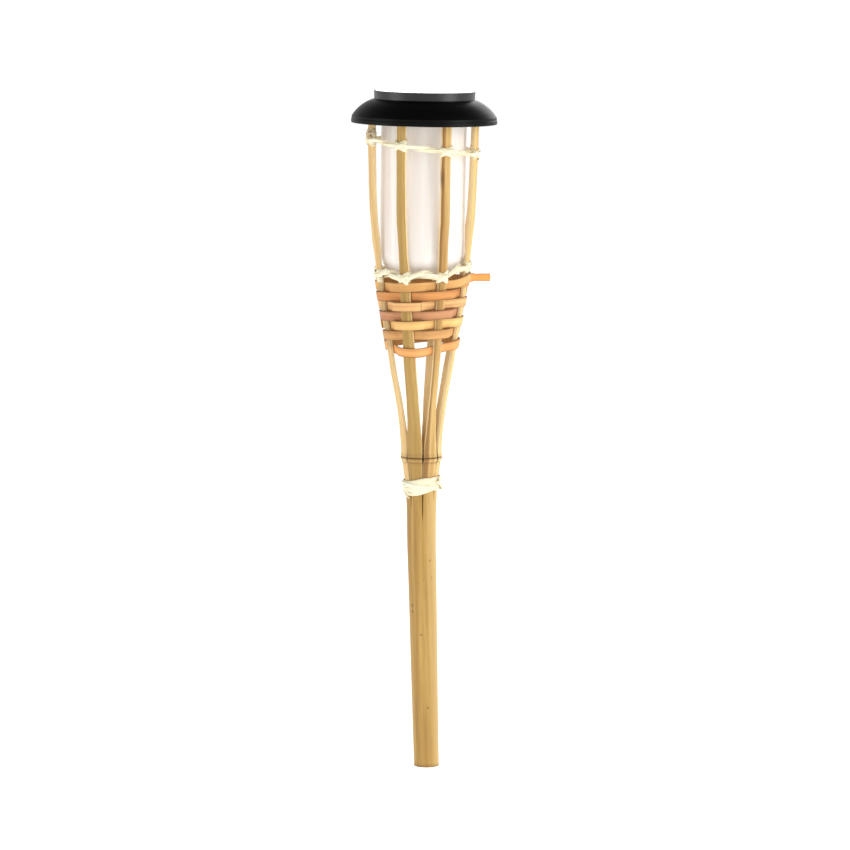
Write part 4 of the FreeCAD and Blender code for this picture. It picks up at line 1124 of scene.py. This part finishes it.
def finish_bamboo():
    wood = srgb(240, 212, 160)
    brown_edge = (61.4, 60.0, srgb(132, 86, 38), 0.8)
    skins = (
        ("peach", "peach", srgb(226, 188, 126), srgb(204, 160, 98), srgb(240, 210, 152), None),
        ("olive", "olive", srgb(184, 148, 82), srgb(162, 126, 66), srgb(200, 166, 102), None),
        ("brown", "brown", srgb(210, 172, 106), srgb(180, 136, 74), srgb(228, 194, 130), brown_edge),
        ("yellow", "yellow", srgb(230, 194, 124), srgb(206, 164, 96), srgb(244, 216, 152), None),
        ("tan", "tan", srgb(214, 172, 112), srgb(190, 146, 88), srgb(232, 196, 138), None),
        ("amber", "peach", srgb(206, 166, 106), srgb(182, 138, 80), srgb(226, 190, 130), None),
        ("honey", "brown", srgb(216, 176, 116), srgb(190, 148, 90), srgb(234, 200, 142), None),
        ("drab", "olive", srgb(200, 162, 102), srgb(176, 134, 78), srgb(220, 184, 124), None),
    )
    for index, (name, slot, skin, dark, light, edge_tint_and_side_light) in enumerate(skins):
        material = bamboo(f"bamboo_{name}", skin, dark, light, wood, 3.0 + index, edge_tint_and_side_light=edge_tint_and_side_light)
        stave(index, material)
    # the culm is paler down its right side: a painted highlight where the key light falls
    culm = bamboo(
        "bamboo_culm_skin",
        srgb(184, 145, 78),
        srgb(166, 126, 64),
        srgb(204, 166, 96),
        wood,
        21.0,
        edge_tint_and_side_light=(2.5, 7.2, srgb(222, 188, 124), 0.6),
    )
    pole(culm)

    strips = (
        (srgb(232, 178, 108), srgb(206, 146, 80), "tan"),
        (srgb(216, 148, 84), srgb(186, 114, 56), "orange"),
        (srgb(236, 184, 122), srgb(214, 152, 92), "tan"),
        (srgb(202, 144, 100), srgb(176, 114, 76), "pink"),
        (srgb(240, 190, 118), srgb(216, 158, 90), "tan"),
        (srgb(216, 162, 100), srgb(192, 134, 78), "tan"),
        (srgb(234, 166, 98), srgb(208, 134, 72), "orange"),
    )
    orange = bamboo(
        "strip_tail",
        srgb(244, 160, 76),
        srgb(222, 130, 54),
        srgb(250, 182, 104),
        srgb(230, 160, 90),
        41.0,
        0.55,
        1.2,
    )
    strip_wood = srgb(226, 170, 106)
    for index, (skin, dark, slot) in enumerate(strips):
        light = tuple(min(1.0, c * 1.22) for c in skin[:3]) + (1.0,)
        material = bamboo(f"strip_{index + 1}", skin, dark, light, strip_wood, 31.0 + index, 0.55, 1.2)
        weave_row(index, material, orange)

    pale = raffia("raffia_ivory", srgb(248, 240, 206), srgb(222, 204, 158), 51.0)
    for made in (upper_lashing(pale), lower_lashing(pale), pole_lashing(pale)):
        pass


LIGHT_TARGET = Vector((0, 0, 0.25))
SEEN_WHITE = 1.05
WORLD_STRENGTH = 0.84
FLOOR_HALF = 6.0
CAMERA_PLACE = (-0.00094, -2.5, 0.535)
CAMERA_DOWN = 7.294
CAMERA_LENS = 172.0


def area_light(name, place, size, power):
    """A soft rectangular light that faces the torch."""
    data = bpy.data.lights.new(name, "AREA")
    data.shape = "RECTANGLE"
    data.size, data.size_y = size
    data.energy = power
    made = bpy.data.objects.new(name, data)
    made.location = place
    made.rotation_euler = (LIGHT_TARGET - Vector(place)).to_track_quat("-Z", "Y").to_euler()
    bpy.context.scene.collection.objects.link(made)


def studio():
    """A white studio: bright at the sides, dimmer overhead, with a plain pale floor at ground level."""
    scene = bpy.context.scene
    world = bpy.data.worlds.new("studio")
    scene.world = world
    world.use_nodes = True
    nodes, links = world.node_tree.nodes, world.node_tree.links
    nodes.clear()
    out = nodes.new("ShaderNodeOutputWorld")
    seen = nodes.new("ShaderNodeBackground")
    seen.inputs["Color"].default_value = (1, 1, 1, 1)
    seen.inputs["Strength"].default_value = SEEN_WHITE
    lit = nodes.new("ShaderNodeBackground")
    lit.inputs["Strength"].default_value = WORLD_STRENGTH
    place = nodes.new("ShaderNodeTexCoord")
    axes = nodes.new("ShaderNodeSeparateXYZ")
    ramp = nodes.new("ShaderNodeValToRGB")
    marks = ramp.color_ramp.elements
    marks[0].position, marks[0].color = 0.1, (1, 1, 1, 1)
    marks[1].position, marks[1].color = 0.75, (0.16, 0.16, 0.165, 1)
    rays = nodes.new("ShaderNodeLightPath")
    mix = nodes.new("ShaderNodeMixShader")
    links.new(place.outputs["Generated"], axes.inputs[0])
    links.new(axes.outputs[2], ramp.inputs["Fac"])
    links.new(ramp.outputs["Color"], lit.inputs["Color"])
    links.new(rays.outputs["Is Camera Ray"], mix.inputs[0])
    links.new(lit.outputs[0], mix.inputs[1])
    links.new(seen.outputs[0], mix.inputs[2])
    links.new(mix.outputs[0], out.inputs["Surface"])

    floor_mesh = bpy.data.meshes.new("floor")
    r = FLOOR_HALF
    floor_mesh.from_pydata([(-r, -r, 0), (r, -r, 0), (r, r, 0), (-r, r, 0)], [], [(0, 1, 2, 3)])
    t = Tree("floor_pale")
    t.set(
        Base_Color=(0.86, 0.86, 0.86, 1),
        Roughness=0.9,
        Emission_Color=(1, 1, 1, 1),
        Emission_Strength=0.85,
    )
    t.shader.inputs["Specular IOR Level"].default_value = 0.1
    floor_mesh.materials.append(t.material)
    floor = bpy.data.objects.new("floor", floor_mesh)
    scene.collection.objects.link(floor)

    area_light("key_right", (1.5, -0.9, 0.75), (0.9, 1.4), 17)
    area_light("fill_left", (-1.6, -0.6, 0.6), (0.9, 1.4), 8)
    area_light("rim_back", (0.5, 1.7, 0.9), (1.4, 1.0), 8)


def camera():
    """A long lens that looks down a little on the torch."""
    data = bpy.data.cameras.new("camera")
    data.lens = CAMERA_LENS
    data.sensor_width = 36.0
    made = bpy.data.objects.new("camera", data)
    made.location = CAMERA_PLACE
    made.rotation_euler = (math.radians(90 - CAMERA_DOWN), 0, 0)
    bpy.context.scene.collection.objects.link(made)
    bpy.context.scene.camera = made


finish_bamboo()
finish_lamp()
studio()
camera()

bpy.context.scene.view_settings.view_transform = "Standard"
bpy.context.scene.view_settings.look = "None"

bpy.context.view_layer.update()
